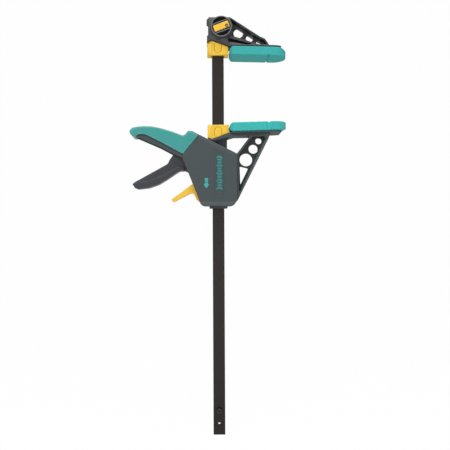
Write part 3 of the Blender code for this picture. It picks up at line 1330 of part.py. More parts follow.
def build():
    teal = material("teal_soft_plastic", TEAL, 0.55)
    housing_grey = material("housing_plastic", DARK_GREY, 0.55)
    head_grey = material("head_plastic", HEAD_GREY, 0.5)
    lever_grey = material("lever_plastic", MID_GREY, 0.5)
    yellow = material("yellow_plastic", YELLOW, 0.45)
    black = material("black_steel", BLACK_STEEL, 0.38, 0.75)
    bright = material("bright_steel", BRIGHT_STEEL, 0.3, 1.0)
    spring = material("spring_steel", BRIGHT_STEEL, 0.35, 1.0)

    make_bar(black)
    make_stop_pin(black)
    make_head(head_grey)
    make_pad("fixed_pad", FIXED_JAW, teal)
    make_collar("fixed_collar", FIXED_COLLAR, yellow)

    knob_axis = joint_axis("knob_axis", (KNOB_OFFSET, 0, KNOB_HEIGHT))
    carry(knob_axis, make_knob(head_grey), make_insert(yellow), make_rivet(bright))
    carry(joint_axis("lock_pin_axis", (0, 0, KNOB_HEIGHT)), make_lock_pin(bright))

    carriage = joint_axis("carriage_axis", (0, 0, MOVING_FACE))
    carry(carriage, make_jaw_body(housing_grey), make_front_cover(housing_grey),
          make_grip(teal), make_pad("moving_pad", MOVING_JAW, teal),
          make_collar("moving_collar", MOVING_COLLAR, yellow), make_guide(head_grey),
          make_pin("trigger_pin", (TRIGGER_X, TRIGGER_Z), TRIGGER_PIN_RADIUS, bright),
          make_pin("release_pin", (RELEASE_X, RELEASE_Z), RELEASE_PIN_RADIUS, bright))
    for number, (place, in_housing) in enumerate(screw_places(), 1):
        carry(carriage, make_screw(number, place, in_housing, bright))

    trigger_axis = joint_axis("trigger_axis", (TRIGGER_X, 0, TRIGGER_Z), carriage)
    carry(trigger_axis, make_trigger(lever_grey))
    upper, lower = drive_heights()
    drive_axis = joint_axis("drive_axis", (0, 0, upper), carriage)
    for name, height in (("drive_plate_upper", upper), ("drive_plate_lower", lower)):
        carry(drive_axis, turn_about(steel_plate(name, height, bright), -DRIVE_TILT, (0, height)))
    carry(carriage, coil("drive_spring", DRIVE_SPRING_RADIUS, DRIVE_SPRING_WIRE,
                         DRIVE_SPRING_TURNS, (0, 0), SHELF_TOP + FIT, drive_spring_top(), spring))

    release_axis = joint_axis("release_axis", (RELEASE_X, 0, RELEASE_Z), carriage)
    carry(release_axis, make_release_lever(yellow))
    brake_axis = joint_axis("brake_axis", (BRAKE_X, 0, BRAKE_Z), carriage)
    carry(brake_axis, turn_about(steel_plate("brake_plate", BRAKE_Z, bright), BRAKE_TILT,
                                 (BRAKE_X, BRAKE_Z)))
    carry(carriage, coil("brake_spring", BRAKE_SPRING_RADIUS, BRAKE_SPRING_WIRE,
                         BRAKE_SPRING_TURNS, brake_spring_place(), FLOOR + FIT,
                         brake_spring_top(), spring))


build()
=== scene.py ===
import math

import bmesh
import bpy
import numpy as np
from mathutils import Matrix


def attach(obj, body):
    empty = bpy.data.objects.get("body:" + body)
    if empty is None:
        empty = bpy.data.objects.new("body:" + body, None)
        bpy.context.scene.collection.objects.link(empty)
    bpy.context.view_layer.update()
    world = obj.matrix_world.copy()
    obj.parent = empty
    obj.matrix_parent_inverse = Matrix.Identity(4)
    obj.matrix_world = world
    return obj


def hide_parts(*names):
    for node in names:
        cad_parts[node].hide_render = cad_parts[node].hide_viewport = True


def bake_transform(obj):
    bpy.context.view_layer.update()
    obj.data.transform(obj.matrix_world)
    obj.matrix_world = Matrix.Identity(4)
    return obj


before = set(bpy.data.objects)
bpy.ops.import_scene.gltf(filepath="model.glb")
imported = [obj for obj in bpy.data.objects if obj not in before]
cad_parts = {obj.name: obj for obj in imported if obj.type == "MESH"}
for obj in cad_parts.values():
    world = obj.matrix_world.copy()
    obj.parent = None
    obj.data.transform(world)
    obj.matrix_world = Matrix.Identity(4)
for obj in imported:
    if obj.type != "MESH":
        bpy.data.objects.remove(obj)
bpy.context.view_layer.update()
print("frame loaded:", len(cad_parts), "nodes")


# Node helpers, used by every group and material

def addNode(tree, kind, spot, **settings):
    node = tree.nodes.new(kind)
    node.location = spot
    for name, value in settings.items():
        setattr(node, name, value)
    return node


def wire(tree, outSocket, inSocket):
    tree.links.new(outSocket, inSocket)


def feed(tree, node, **values):
    # i0, i1 and on count the inputs, any other key is an input's name with _ for each space;
    # a value is a plain number or colour, or an output socket of another node
    for name, value in values.items():
        counted = name[0] == "i" and name[1:].isdigit()
        socket = node.inputs[int(name[1:]) if counted else name.replace("_", " ")]
        if isinstance(value, bpy.types.NodeSocket):
            wire(tree, value, socket)
        else:
            socket.default_value = value


def maths(tree, spot, operation, a, b=0.0, clamp=False):
    node = addNode(tree, "ShaderNodeMath", spot, operation=operation, use_clamp=clamp)
    feed(tree, node, i0=a, i1=b)
    return node.outputs[0]


def swing(tree, spot, value, amount):
    # how far value lies from a half, times amount
    centred = maths(tree, (spot[0] - 140, spot[1]), "SUBTRACT", value, 0.5)
    return maths(tree, spot, "MULTIPLY", centred, amount)


def weighted(tree, spot, a, shareA, b, shareB):
    # a and b, each times its share, added up
    first = maths(tree, (spot[0] - 150, spot[1] + 100), "MULTIPLY", a, shareA)
    second = maths(tree, (spot[0] - 150, spot[1] - 100), "MULTIPLY", b, shareB)
    return maths(tree, spot, "ADD", first, second)


def scaledColour(tree, spot, colour, gain):
    node = addNode(tree, "ShaderNodeVectorMath", spot, operation="SCALE")
    feed(tree, node, i0=colour, Scale=gain)
    return node.outputs[0]


def blendColour(tree, spot, amount, low, high):
    node = addNode(tree, "ShaderNodeMix", spot, data_type="RGBA")
    feed(tree, node, i0=amount, i6=low, i7=high)
    return node.outputs[2]


def remap(tree, spot, value, fromLow, fromHigh, toLow, toHigh):
    node = addNode(tree, "ShaderNodeMapRange", spot)
    feed(tree, node, i0=value, i1=fromLow, i2=fromHigh, i3=toLow, i4=toHigh)
    return node.outputs[0]


def noise(tree, spot, vector, scale, detail=3.0, roughness=0.5):
    node = addNode(tree, "ShaderNodeTexNoise", spot)
    feed(tree, node, Vector=vector, Scale=scale, Detail=detail, Roughness=roughness)
    return node.outputs[0]


def axesOf(tree, spot, vector):
    node = addNode(tree, "ShaderNodeSeparateXYZ", spot)
    feed(tree, node, i0=vector)
    return node.outputs


def newGroup(name, inputs, outputs):
    # each group reads Vector first; an input preset to one number is a float, one preset to four a colour
    tree = bpy.data.node_groups.new(name, "ShaderNodeTree")
    tree.interface.new_socket("Vector", in_out="INPUT", socket_type="NodeSocketVector")
    for label, preset in inputs.items():
        kind = "NodeSocketFloat" if isinstance(preset, float) else "NodeSocketColor"
        socket = tree.interface.new_socket(label, in_out="INPUT", socket_type=kind)
        socket.default_value = preset
    for label, kind in outputs.items():
        tree.interface.new_socket(label, in_out="OUTPUT", socket_type="NodeSocket" + kind)
    start = addNode(tree, "NodeGroupInput", (-900, 0))
    end = addNode(tree, "NodeGroupOutput", (900, 0))
    return tree, start.outputs, end.inputs


grain = {"coarseScale": 0.31, "fineShare": 0.6, "coarseShare": 0.4, "speckle": 0.10, "mottle": 0.16}


def mouldedSkin():
    # spark-eroded mould texture: two sizes of grain for the height, slow cloudy shade for the colour
    tree, given, out = newGroup("mouldedSkin", {
        "Colour": (0.5, 0.5, 0.5, 1), "Grain Scale": 2200.0, "Cloud Scale": 22.0, "Cloud Amount": 0.12,
        "Roughness": 0.5}, {"Colour": "Color", "Roughness": "Float", "Height": "Float"})
    coarseScale = maths(tree, (-760, -50), "MULTIPLY", given["Grain Scale"], grain["coarseScale"])
    fine = noise(tree, (-600, 200), given["Vector"], given["Grain Scale"], detail=2.0, roughness=0.6)
    coarse = noise(tree, (-600, -50), given["Vector"], coarseScale, detail=2.0)
    cloud = noise(tree, (-600, -300), given["Vector"], given["Cloud Scale"], detail=4.0, roughness=0.55)
    height = weighted(tree, (-300, 100), fine, grain["fineShare"], coarse, grain["coarseShare"])
    wire(tree, height, out["Height"])
    halfCloud = swing(tree, (-320, -300), cloud, given["Cloud Amount"])
    clouded = maths(tree, (-200, -300), "MULTIPLY", halfCloud, 2.0)
    speckled = swing(tree, (-100, -120), coarse, grain["speckle"])
    gain = maths(tree, (60, -200), "ADD", maths(tree, (-80, -300), "ADD", clouded, 1.0), speckled)
    wire(tree, scaledColour(tree, (220, -100), given["Colour"], gain), out["Colour"])
    mottled = swing(tree, (60, -380), cloud, grain["mottle"])
    wire(tree, maths(tree, (220, -300), "ADD", given["Roughness"], mottled, clamp=True), out["Roughness"])
    return tree


edgeTurn = {"from": 0.985, "to": 0.86, "breakScale": 260.0, "breakFrom": 0.42, "breakTo": 0.62}


def roundedEdge():
    # the normal turned round each corner over Radius, and a mask that grows as the cosine between it and
    # the flat normal falls, broken up by noise
    tree, given, out = newGroup("roundedEdge", {"Radius": 0.0006, "Wear": 0.5, "Breaks": 1.0},
                                {"Normal": "Vector", "Mask": "Float"})
    bevel = addNode(tree, "ShaderNodeBevel", (-600, 0), samples=6)
    feed(tree, bevel, Radius=given["Radius"])
    place = addNode(tree, "ShaderNodeNewGeometry", (-600, -200))
    dot = addNode(tree, "ShaderNodeVectorMath", (-400, -100), operation="DOT_PRODUCT")
    feed(tree, dot, i0=bevel.outputs[0], i1=place.outputs["True Normal"])
    turned = remap(tree, (-200, -100), dot.outputs["Value"], edgeTurn["from"], edgeTurn["to"], 0.0, 1.0)
    broken = noise(tree, (-400, -350), given["Vector"], edgeTurn["breakScale"], detail=5.0, roughness=0.65)
    unbroken = maths(tree, (-400, -520), "SUBTRACT", 1.0, given["Breaks"])
    patchy = remap(tree, (-200, -350), broken, edgeTurn["breakFrom"], edgeTurn["breakTo"], unbroken, 1.0)
    mask = maths(tree, (0, -200), "MULTIPLY", turned, patchy)
    wire(tree, maths(tree, (200, -200), "MULTIPLY", mask, given["Wear"], clamp=True), out["Mask"])
    wire(tree, bevel.outputs[0], out["Normal"])
    return tree


scuffs = {"turns": (0.6, -0.9), "squeeze": 14, "crestFrom": 0.66, "crestTo": 0.76,
          "patchScale": 18.0, "patchFrom": 0.45, "patchTo": 0.65}


def handlingMarks():
    # thin short scuffs: very stretched noise cut to its crests, in two crossed directions
    tree, given, out = newGroup("handlingMarks", {"Scale": 60.0, "Amount": 0.4}, {"Mask": "Float"})
    crests = []
    for n, turn in enumerate(scuffs["turns"]):
        spin = addNode(tree, "ShaderNodeMapping", (-700, -260 * n))
        feed(tree, spin, Vector=given["Vector"], Rotation=(0, turn, 0), Scale=(1, 1, scuffs["squeeze"]))
        streak = noise(tree, (-500, -260 * n), spin.outputs[0], given["Scale"], roughness=0.6)
        crests.append(remap(tree, (-300, -260 * n), streak, scuffs["crestFrom"], scuffs["crestTo"], 0.0, 1.0))
    both = maths(tree, (-80, 0), "MAXIMUM", crests[0], crests[1])
    spread = noise(tree, (-300, -500), given["Vector"], scuffs["patchScale"], detail=2.0)
    where = remap(tree, (-80, -300), spread, scuffs["patchFrom"], scuffs["patchTo"], 0.0, 1.0)
    mask = maths(tree, (120, 0), "MULTIPLY", both, where)
    wire(tree, maths(tree, (300, 0), "MULTIPLY", mask, given["Amount"], clamp=True), out["Mask"])
    return tree


drawing = {"stretch": 0.02, "pitScale": 1600.0, "cloudScale": 30.0, "clouds": 0.35, "mottle": 0.5,
           "streakShare": 0.7, "pitShare": 0.3}


def drawnSteel():
    # cold-drawn steel: long streaks along Z, with fine pitting across them
    tree, given, out = newGroup("drawnSteel", {
        "Colour": (0.5, 0.5, 0.5, 1), "Streak Scale": 700.0, "Streak Amount": 0.25,
        "Roughness": 0.4}, {"Colour": "Color", "Roughness": "Float", "Height": "Float"})
    stretch = addNode(tree, "ShaderNodeMapping", (-800, 0))
    feed(tree, stretch, Vector=given["Vector"], Scale=(1, 1, drawing["stretch"]))
    streak = noise(tree, (-600, 0), stretch.outputs[0], given["Streak Scale"], roughness=0.6)
    pits = noise(tree, (-600, -250), given["Vector"], drawing["pitScale"], detail=2.0)
    cloud = noise(tree, (-600, -500), given["Vector"], drawing["cloudScale"], detail=4.0, roughness=0.6)
    streaked = swing(tree, (-300, 0), streak, given["Streak Amount"])
    clouded = swing(tree, (-300, -500), cloud, drawing["clouds"])
    gain = maths(tree, (-60, -100), "ADD", maths(tree, (-180, -100), "ADD", streaked, clouded), 1.0)
    wire(tree, scaledColour(tree, (100, 0), given["Colour"], gain), out["Colour"])
    mottled = maths(tree, (-60, -250), "MULTIPLY", clouded, drawing["mottle"])
    wire(tree, maths(tree, (100, -250), "ADD", given["Roughness"], mottled, clamp=True), out["Roughness"])
    height = weighted(tree, (100, -500), streak, drawing["streakShare"], pits, drawing["pitShare"])
    wire(tree, height, out["Height"])
    return tree


hollows = {"closed": 0.25, "open": 0.85, "webFade": 0.0006}


def paintedRecessShade():
    # painted shade held in corners and pockets by ambient occlusion, and on all that lies nearer the middle
    # plane than Web, as on the webs
    tree, given, out = newGroup("paintedRecessShade", {"Distance": 0.012, "Web": 0.0, "Amount": 0.8},
                                {"Mask": "Float"})
    hollow = addNode(tree, "ShaderNodeAmbientOcclusion", (-600, 0), samples=8)
    feed(tree, hollow, Distance=given["Distance"])
    corner = remap(tree, (-400, 0), hollow.outputs["AO"], hollows["closed"], hollows["open"], 1.0, 0.0)
    offMiddle = maths(tree, (-400, -250), "ABSOLUTE", axesOf(tree, (-600, -250), given["Vector"])["Y"])
    below = maths(tree, (-200, -250), "SUBTRACT", given["Web"], offMiddle)
    web = remap(tree, (0, -250), below, 0.0, hollows["webFade"], 0.0, 1.0)
    both = maths(tree, (200, 0), "MAXIMUM", corner, web)
    wire(tree, maths(tree, (400, 0), "MULTIPLY", both, given["Amount"], clamp=True), out["Mask"])
    return tree


def scribedVee():
    # two thin lines on the faces past Side Y: at height Z each lies a half width either side of Middle X,
    # and the half width runs straight from Top Half at Top Z to Foot Half at Foot Z
    tree, given, out = newGroup("scribedVee", {
        "Middle X": 0.087, "Top Z": 0.53, "Foot Z": 0.52, "Top Half": 0.0055, "Foot Half": 0.0027,
        "Side Y": 0.0172, "Width": 0.0006}, {"Mask": "Float"})
    axes = axesOf(tree, (-700, 0), given["Vector"])
    offCentre = maths(tree, (-600, 150), "SUBTRACT", axes["X"], given["Middle X"])
    along = maths(tree, (-500, 150), "ABSOLUTE", offCentre)
    half = remap(tree, (-500, -100), axes["Z"], given["Top Z"], given["Foot Z"],
                 given["Top Half"], given["Foot Half"])
    off = maths(tree, (-300, 50), "ABSOLUTE", maths(tree, (-400, 50), "SUBTRACT", along, half))
    line = remap(tree, (-150, 50), off, 0.0, given["Width"], 1.0, 0.0)
    aboveFoot = maths(tree, (-300, -250), "GREATER_THAN", axes["Z"], given["Foot Z"])
    underTop = maths(tree, (-300, -400), "LESS_THAN", axes["Z"], given["Top Z"])
    outward = maths(tree, (-450, -550), "ABSOLUTE", axes["Y"])
    onSide = maths(tree, (-300, -550), "GREATER_THAN", outward, given["Side Y"])
    between = maths(tree, (-50, -300), "MULTIPLY", aboveFoot, underTop)
    held = maths(tree, (100, -300), "MULTIPLY", between, onSide)
    wire(tree, maths(tree, (300, 0), "MULTIPLY", line, held), out["Mask"])
    return tree


groups = {"vee": scribedVee(), "skin": mouldedSkin(), "edge": roundedEdge(),
          "marks": handlingMarks(), "steel": drawnSteel(), "recess": paintedRecessShade()}
print("shader groups built:", len(groups))


# Materials: moulded plastics and steels

def useGroup(tree, spot, name, **values):
    node = addNode(tree, "ShaderNodeGroup", spot, node_tree=groups[name])
    feed(tree, node, **values)
    return node.outputs


def clearedMaterial(name):
    material = bpy.data.materials.new(name)
    material.use_nodes = True
    tree = material.node_tree
    tree.nodes.clear()
    return material, tree, addNode(tree, "ShaderNodeOutputMaterial", (900, 0)).inputs[0]


def startMaterial(name):
    material, tree, surface = clearedMaterial(name)
    shader = addNode(tree, "ShaderNodeBsdfPrincipled", (600, 0))
    wire(tree, shader.outputs[0], surface)
    place = addNode(tree, "ShaderNodeTexCoord", (-1100, 0))
    return material, tree, shader, place.outputs["Object"]


def blendWearAndHighlight(tree, place, look, base):
    # edges and scuffs blend base's colour to the lighter colour, and add wornRoughness to its roughness; the
    # scuffs are wear, and the edges are wear with a painted highlight
    edge = useGroup(tree, (-700, -150), "edge", Vector=place, Radius=look["edgeRadius"],
                    Wear=look["edgeWearAndHighlight"], Breaks=look["edgeBreaks"])
    marks = useGroup(tree, (-700, -400), "marks", Vector=place, Scale=look["markScale"], Amount=look["marks"])
    wearAndHighlightMask = maths(tree, (-400, -250), "MAXIMUM", edge["Mask"], marks["Mask"])
    proud = blendColour(tree, (-200, 200), wearAndHighlightMask, base["Colour"], (*look["wearAndHighlightColour"], 1))
    change = maths(tree, (-320, -50), "MULTIPLY", wearAndHighlightMask, look["wornRoughness"])
    rough = maths(tree, (-200, -50), "ADD", base["Roughness"], change, clamp=True)
    return proud, rough, edge["Normal"]


def closeMaterial(tree, shader, look, colour, rough, height, normal):
    # the height as fine relief on the rounded normal, and everything led to the shader
    bump = addNode(tree, "ShaderNodeBump", (200, -300))
    feed(tree, bump, Strength=look["bump"], Distance=look["relief"], Height=height, Normal=normal)
    feed(tree, shader, Base_Color=colour, Roughness=rough, Normal=bump.outputs[0])
    feed(tree, shader, Metallic=look["metallic"], Specular_IOR_Level=look["specular"])


def plasticMaterial(name, look):
    material, tree, shader, place = startMaterial(name)
    skin = useGroup(tree, (-700, 200), "skin", Vector=place, Colour=(*look["colour"], 1),
                    Grain_Scale=look["grain"], Cloud_Scale=look["clouds"], Cloud_Amount=look["cloudAmount"],
                    Roughness=look["roughness"])
    proud, rough, normal = blendWearAndHighlight(tree, place, look, skin)
    recess = useGroup(tree, (-700, -620), "recess", Vector=place, Distance=look["recess"],
                      Web=look["web"], Amount=look["recessShadeAmount"])
    paintedShade = recess["Mask"]
    if "vee" in look:
        middle, top, foot, topHalf, footHalf = look["vee"]
        vee = useGroup(tree, (-700, -850), "vee", Vector=place, Middle_X=middle, Top_Z=top, Foot_Z=foot,
                       Top_Half=topHalf, Foot_Half=footHalf, Side_Y=look["veeSide"], Width=look["veeWidth"])
        # painted shade: the pads' grooves and the collars' fold drawn as dark lines
        veeShade = maths(tree, (-320, -800), "MULTIPLY", vee["Mask"], look["veeAmount"])
        paintedShade = maths(tree, (-200, -700), "MAXIMUM", paintedShade, veeShade)
    if "foot" in look:
        # painted highlight: the band under this height is painted lighter, as lit from below
        height = axesOf(tree, (-700, 450), place)["Z"]
        paintedUnderLight = remap(tree, (-400, 450), height, look["foot"] - look["footFade"], look["foot"],
                         look["footHighlightAmount"], 0.0)
        proud = blendColour(tree, (-100, 400), paintedUnderLight, proud, (*look["wearAndHighlightColour"], 1))
    # painted shade: recesses, webs and vee lines darken towards the recess shade colour
    colour = blendColour(tree, (0, 200), paintedShade, proud, (*look["recessShadeColour"], 1))
    closeMaterial(tree, shader, look, colour, rough, skin["Height"], normal)
    return material


def steelMaterial(name, look):
    material, tree, shader, place = startMaterial(name)
    steel = useGroup(tree, (-700, 200), "steel", Vector=place, Colour=(*look["colour"], 1),
                     Streak_Scale=look["streaks"], Streak_Amount=look["streakAmount"],
                     Roughness=look["roughness"])
    proud, rough, normal = blendWearAndHighlight(tree, place, look, steel)
    # painted shade: a rolled flat is painted darker where it lies further than flank from the middle in X,
    # where its rounded edges turn from the light
    offMiddle = maths(tree, (-550, 450), "ABSOLUTE", axesOf(tree, (-700, 450), place)["X"])
    paintedEdgeShade = remap(tree, (-400, 450), offMiddle, look["flank"], look["flank"] + look["flankFade"],
                   0.0, look["flankShadeAmount"])
    colour = blendColour(tree, (0, 200), paintedEdgeShade, proud, (*look["flankShadeColour"], 1))
    closeMaterial(tree, shader, look, colour, rough, steel["Height"], normal)
    return material


plasticLook = {
    "grain": 2200.0, "clouds": 22.0, "cloudAmount": 0.10, "roughness": 0.52, "specular": 0.32,
    "metallic": 0.0, "bump": 0.25, "relief": 0.0002, "edgeRadius": 0.0008, "edgeWearAndHighlight": 0.45,
    "edgeBreaks": 0.6, "markScale": 60.0, "marks": 0.25, "wornRoughness": 0.08, "recess": 0.012,
    "web": 0.0, "recessShadeAmount": 0.85, "recessShadeColour": (0.008, 0.007, 0.007), "veeSide": 0.0172,
    "veeWidth": 0.0006, "veeAmount": 0.6, "footFade": 0.0007, "footHighlightAmount": 0.42}
padLook = {
    "colour": (0.036, 0.350, 0.335), "wearAndHighlightColour": (0.09, 0.46, 0.43), "roughness": 0.52, "specular": 0.14,
    "grain": 1200.0, "edgeRadius": 0.0016, "recessShadeColour": (0.010, 0.12, 0.11), "recessShadeAmount": 0.5}
yellowLook = {
    "colour": (0.655, 0.402, 0.033), "wearAndHighlightColour": (0.82, 0.56, 0.10), "roughness": 0.42,
    "edgeRadius": 0.0010, "edgeWearAndHighlight": 0.35, "edgeBreaks": 0.3, "recessShadeColour": (0.46, 0.185, 0.006),
    "recessShadeAmount": 0.6}
plastics = {
    "headPlastic": {"colour": (0.036, 0.038, 0.042), "wearAndHighlightColour": (0.10, 0.105, 0.11), "web": 0.0075},
    # a light edge colour over strong edge wear: wear and a painted highlight on the knob's edges
    "knobPlastic": {"colour": (0.034, 0.036, 0.040), "wearAndHighlightColour": (0.30, 0.31, 0.32), "edgeRadius": 0.0006,
                    "edgeWearAndHighlight": 0.7, "edgeBreaks": 0.2, "recess": 0.008, "recessShadeAmount": 0.95},
    "housingPlastic": {"colour": (0.0320, 0.043, 0.0465), "wearAndHighlightColour": (0.10, 0.122, 0.128),
                       "roughness": 0.55, "web": 0.0075, "edgeRadius": 0.0012, "foot": 0.3985},
    # near-black painted shade for the knob's pockets
    "pocketShadePlastic": {"colour": (0.008, 0.0065, 0.0055), "wearAndHighlightColour": (0.02, 0.018, 0.016),
                    "specular": 0.1, "roughness": 0.7},
    # a darker copy of the knob's plastic: painted shade on the ridge
    "shadedRidgePlastic": {"colour": (0.018, 0.020, 0.027), "wearAndHighlightColour": (0.06, 0.065, 0.075),
                     "edgeRadius": 0.0004, "recessShadeAmount": 0.5},
    # a lighter copy of the knob's plastic: painted highlight on the rim and the beads
    "knobHighlightPlastic": {"colour": (0.115, 0.12, 0.125), "wearAndHighlightColour": (0.30, 0.31, 0.32),
                   "roughness": 0.35, "recessShadeAmount": 0.2},
    "leverPlastic": {"colour": (0.020, 0.023, 0.028), "wearAndHighlightColour": (0.075, 0.083, 0.088),
                     "roughness": 0.42, "specular": 0.32, "edgeRadius": 0.0025, "edgeWearAndHighlight": 0.35},
    "guidePlastic": {"colour": (0.020, 0.022, 0.024), "wearAndHighlightColour": (0.07, 0.075, 0.08)},
    # a wide edge band in the lighter colour: wear and a painted highlight along the grip's rounded edges
    "tealSoft": {"colour": (0.027, 0.226, 0.213), "wearAndHighlightColour": (0.18, 0.47, 0.43), "roughness": 0.34,
                 "specular": 0.42, "grain": 1500.0, "edgeRadius": 0.0050, "edgeWearAndHighlight": 0.55,
                 "recessShadeColour": (0.010, 0.11, 0.10), "recessShadeAmount": 0.5},
    "fixedPadSkin": {**padLook, "colour": (0.034, 0.305, 0.294),
                     "vee": (0.0880, 0.6575, 0.6470, 0.0006, 0.0066)},
    "movingPadSkin": {**padLook, "vee": (0.0860, 0.5315, 0.5190, 0.0056, 0.0027)},
    "tealInk": {"colour": (0.038, 0.29, 0.278), "wearAndHighlightColour": (0.05, 0.30, 0.28), "roughness": 0.45,
                "edgeRadius": 0.0002, "edgeWearAndHighlight": 0.1, "recessShadeAmount": 0.0},
    # a darker copy of the yellow plastic: painted shade in the insert's hole
    "shadedYellow": {"colour": (0.33, 0.135, 0.010), "wearAndHighlightColour": (0.45, 0.22, 0.03),
                   "specular": 0.15, "recessShadeAmount": 0.5},
    "yellowPlastic": yellowLook,
    # a vee of no width that runs past both ends is one upright line of painted shade, the collars' fold
    "collarPlastic": {**yellowLook, "colour": (0.675, 0.430, 0.034), "vee": (-0.0115, 1.0, 0.0, 0.0, 0.0),
                      "veeSide": 0.0080, "veeWidth": 0.0015, "veeAmount": 0.9},
}
steelLook = {
    "streaks": 700.0, "streakAmount": 0.3, "roughness": 0.42, "specular": 0.5, "metallic": 1.0, "bump": 0.2,
    "relief": 0.0001, "edgeRadius": 0.0004, "edgeWearAndHighlight": 0.5, "edgeBreaks": 1.0, "markScale": 70.0,
    "marks": 0.3, "wornRoughness": -0.15, "flank": 1.0, "flankFade": 0.0006, "flankShadeAmount": 0.62,
    "flankShadeColour": (0.004, 0.003, 0.003)}
steels = {
    "brownedSteel": {"colour": (0.0130, 0.0092, 0.0066), "wearAndHighlightColour": (0.070, 0.060, 0.052),
                     "metallic": 0.12, "roughness": 0.52, "specular": 0.22, "flank": 0.0082},
    "blackedSteel": {"colour": (0.022, 0.020, 0.019), "wearAndHighlightColour": (0.08, 0.075, 0.07),
                     "metallic": 0.5, "roughness": 0.4},
    "rivetSteel": {"colour": (0.20, 0.19, 0.215), "wearAndHighlightColour": (0.26, 0.25, 0.27),
                   "metallic": 0.3, "roughness": 0.6, "specular": 0.3},
    "brightSteel": {"colour": (0.60, 0.60, 0.60), "wearAndHighlightColour": (0.75, 0.75, 0.74), "roughness": 0.28},
    "springSteel": {"colour": (0.36, 0.36, 0.37), "wearAndHighlightColour": (0.5, 0.5, 0.5), "roughness": 0.3},
}
finishes = {name: plasticMaterial(name, {**plasticLook, **look}) for name, look in plastics.items()}
finishes |= {name: steelMaterial(name, {**steelLook, **look}) for name, look in steels.items()}
print("materials built:", len(finishes))

nodesOf = {
    "brownedSteel": ["bar"],
    "blackedSteel": ["bar_stop_pin"],
    "headPlastic": ["fixed_jaw", "lock_knob"],
    "housingPlastic": ["jaw_body", "front_cover"],
    "guidePlastic": ["lower_bar_guide"],
    "leverPlastic": ["trigger"],
    "tealSoft": ["grip_cover"],
    "fixedPadSkin": ["fixed_pad"],
    "movingPadSkin": ["moving_pad"],
    "collarPlastic": ["fixed_collar", "moving_collar"],
    "yellowPlastic": ["knob_insert", "release_lever"],
    "springSteel": ["drive_spring", "brake_spring"],
    "brightSteel": ["knob_rivet", "lock_pin", "trigger_pin", "release_pin", "drive_plate_upper",
                    "drive_plate_lower", "brake_plate"] + ["housing_screw_%d" % n for n in range(1, 6)],
}
nodeFinish = {node: finish for finish, nodes in nodesOf.items() for node in nodes}
for name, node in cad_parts.items():
    node.data.materials.clear()
    node.data.materials.append(finishes[nodeFinish[name]])
print("frame dressed")


# Pieces: helpers

softAngle = 38  # corners of more degrees than this stay sharp on turned pieces and plates
weld = {"piece": 1e-6, "outline": 1e-7, "moulding": 2e-6, "flatAngle": 0.02}


def linkedPiece(name, mesh, finish, smoothAngle=None):
    # the mesh as an object of the scene, shaded smooth except over corners of more than smoothAngle
    if smoothAngle is not None:
        mesh.polygons.foreach_set("use_smooth", np.ones(len(mesh.polygons), bool))
        mesh.set_sharp_from_angle(angle=math.radians(smoothAngle))
    mesh.materials.append(finishes[finish])
    piece = bpy.data.objects.new(name, mesh)
    bpy.context.scene.collection.objects.link(piece)
    return piece


def meshFrom(name, points, faces, finish, smoothAngle=None):
    # points and faces as arrays, doubles merged, faces turned outwards
    mesh = bpy.data.meshes.new(name)
    mesh.from_pydata(points.tolist(), [], faces.tolist())
    work = bmesh.new()
    work.from_mesh(mesh)
    bmesh.ops.remove_doubles(work, verts=work.verts, dist=weld["piece"])
    bmesh.ops.recalc_face_normals(work, faces=work.faces)
    work.to_mesh(mesh)
    work.free()
    return linkedPiece(name, mesh, finish, smoothAngle)


def ringFaces(rows, columns):
    # quads of a grid whose columns run round and close on themselves
    down = np.arange(rows - 1)[:, None] * columns
    across = np.arange(columns)[None, :]
    nextAcross = (across + 1) % columns
    quads = [down + across, down + nextAcross, down + columns + nextAcross, down + columns + across]
    return np.stack(quads, axis=-1).reshape(-1, 4)


def turnedPiece(name, profile, centre, finish, steps=96):
    # each (radius, y) of the profile runs once round the axis that passes through centre along Y;
    # a profile that starts and ends at radius 0 closes both poles
    radius, depth = np.array(profile).T
    turn = np.linspace(0, 2 * math.pi, steps, endpoint=False)
    x = centre[0] + radius[:, None] * np.cos(turn)[None, :]
    z = centre[1] + radius[:, None] * np.sin(turn)[None, :]
    y = np.broadcast_to(depth[:, None], x.shape)
    points = np.stack([x, y, z], axis=-1).reshape(-1, 3)
    return meshFrom(name, points, ringFaces(len(profile), steps), finish, softAngle)


def roundedRing(corners, steps):
    # a closed outline: at each corner (x, z, radius) an arc of that radius, tangent to both sides
    rows = []
    for i, (x, z, radius) in enumerate(corners):
        here = np.array([x, z])
        back = np.array(corners[i - 1][:2]) - here
        ahead = np.array(corners[(i + 1) % len(corners)][:2]) - here
        back, ahead = back / np.linalg.norm(back), ahead / np.linalg.norm(ahead)
        half = math.acos(np.clip(back @ ahead, -1, 1)) / 2
        middle = here + (back + ahead) / np.linalg.norm(back + ahead) * radius / math.sin(half)
        start = here + back * radius / math.tan(half) - middle
        end = here + ahead * radius / math.tan(half) - middle
        first = math.atan2(start[1], start[0])
        sweep = (math.atan2(end[1], end[0]) - first + math.pi) % (2 * math.pi) - math.pi
        angles = first + sweep * np.linspace(0, 1, steps)
        rows.append(middle + radius * np.stack([np.cos(angles), np.sin(angles)], axis=-1))
    return np.concatenate(rows)


def boxCorners(lowX, highX, lowZ, highZ, *radius):
    # the four corners of a rectangle in order round it, each with the radius where one is given
    return [(lowX, lowZ, *radius), (highX, lowZ, *radius), (highX, highZ, *radius), (lowX, highZ, *radius)]


def circleRing(x, z, radius, steps):
    # evenly spaced turns of the radius round (x, z)
    turn = np.linspace(0, 2 * math.pi, steps, endpoint=False)
    return np.stack([x + radius * np.cos(turn), z + radius * np.sin(turn)], axis=-1)


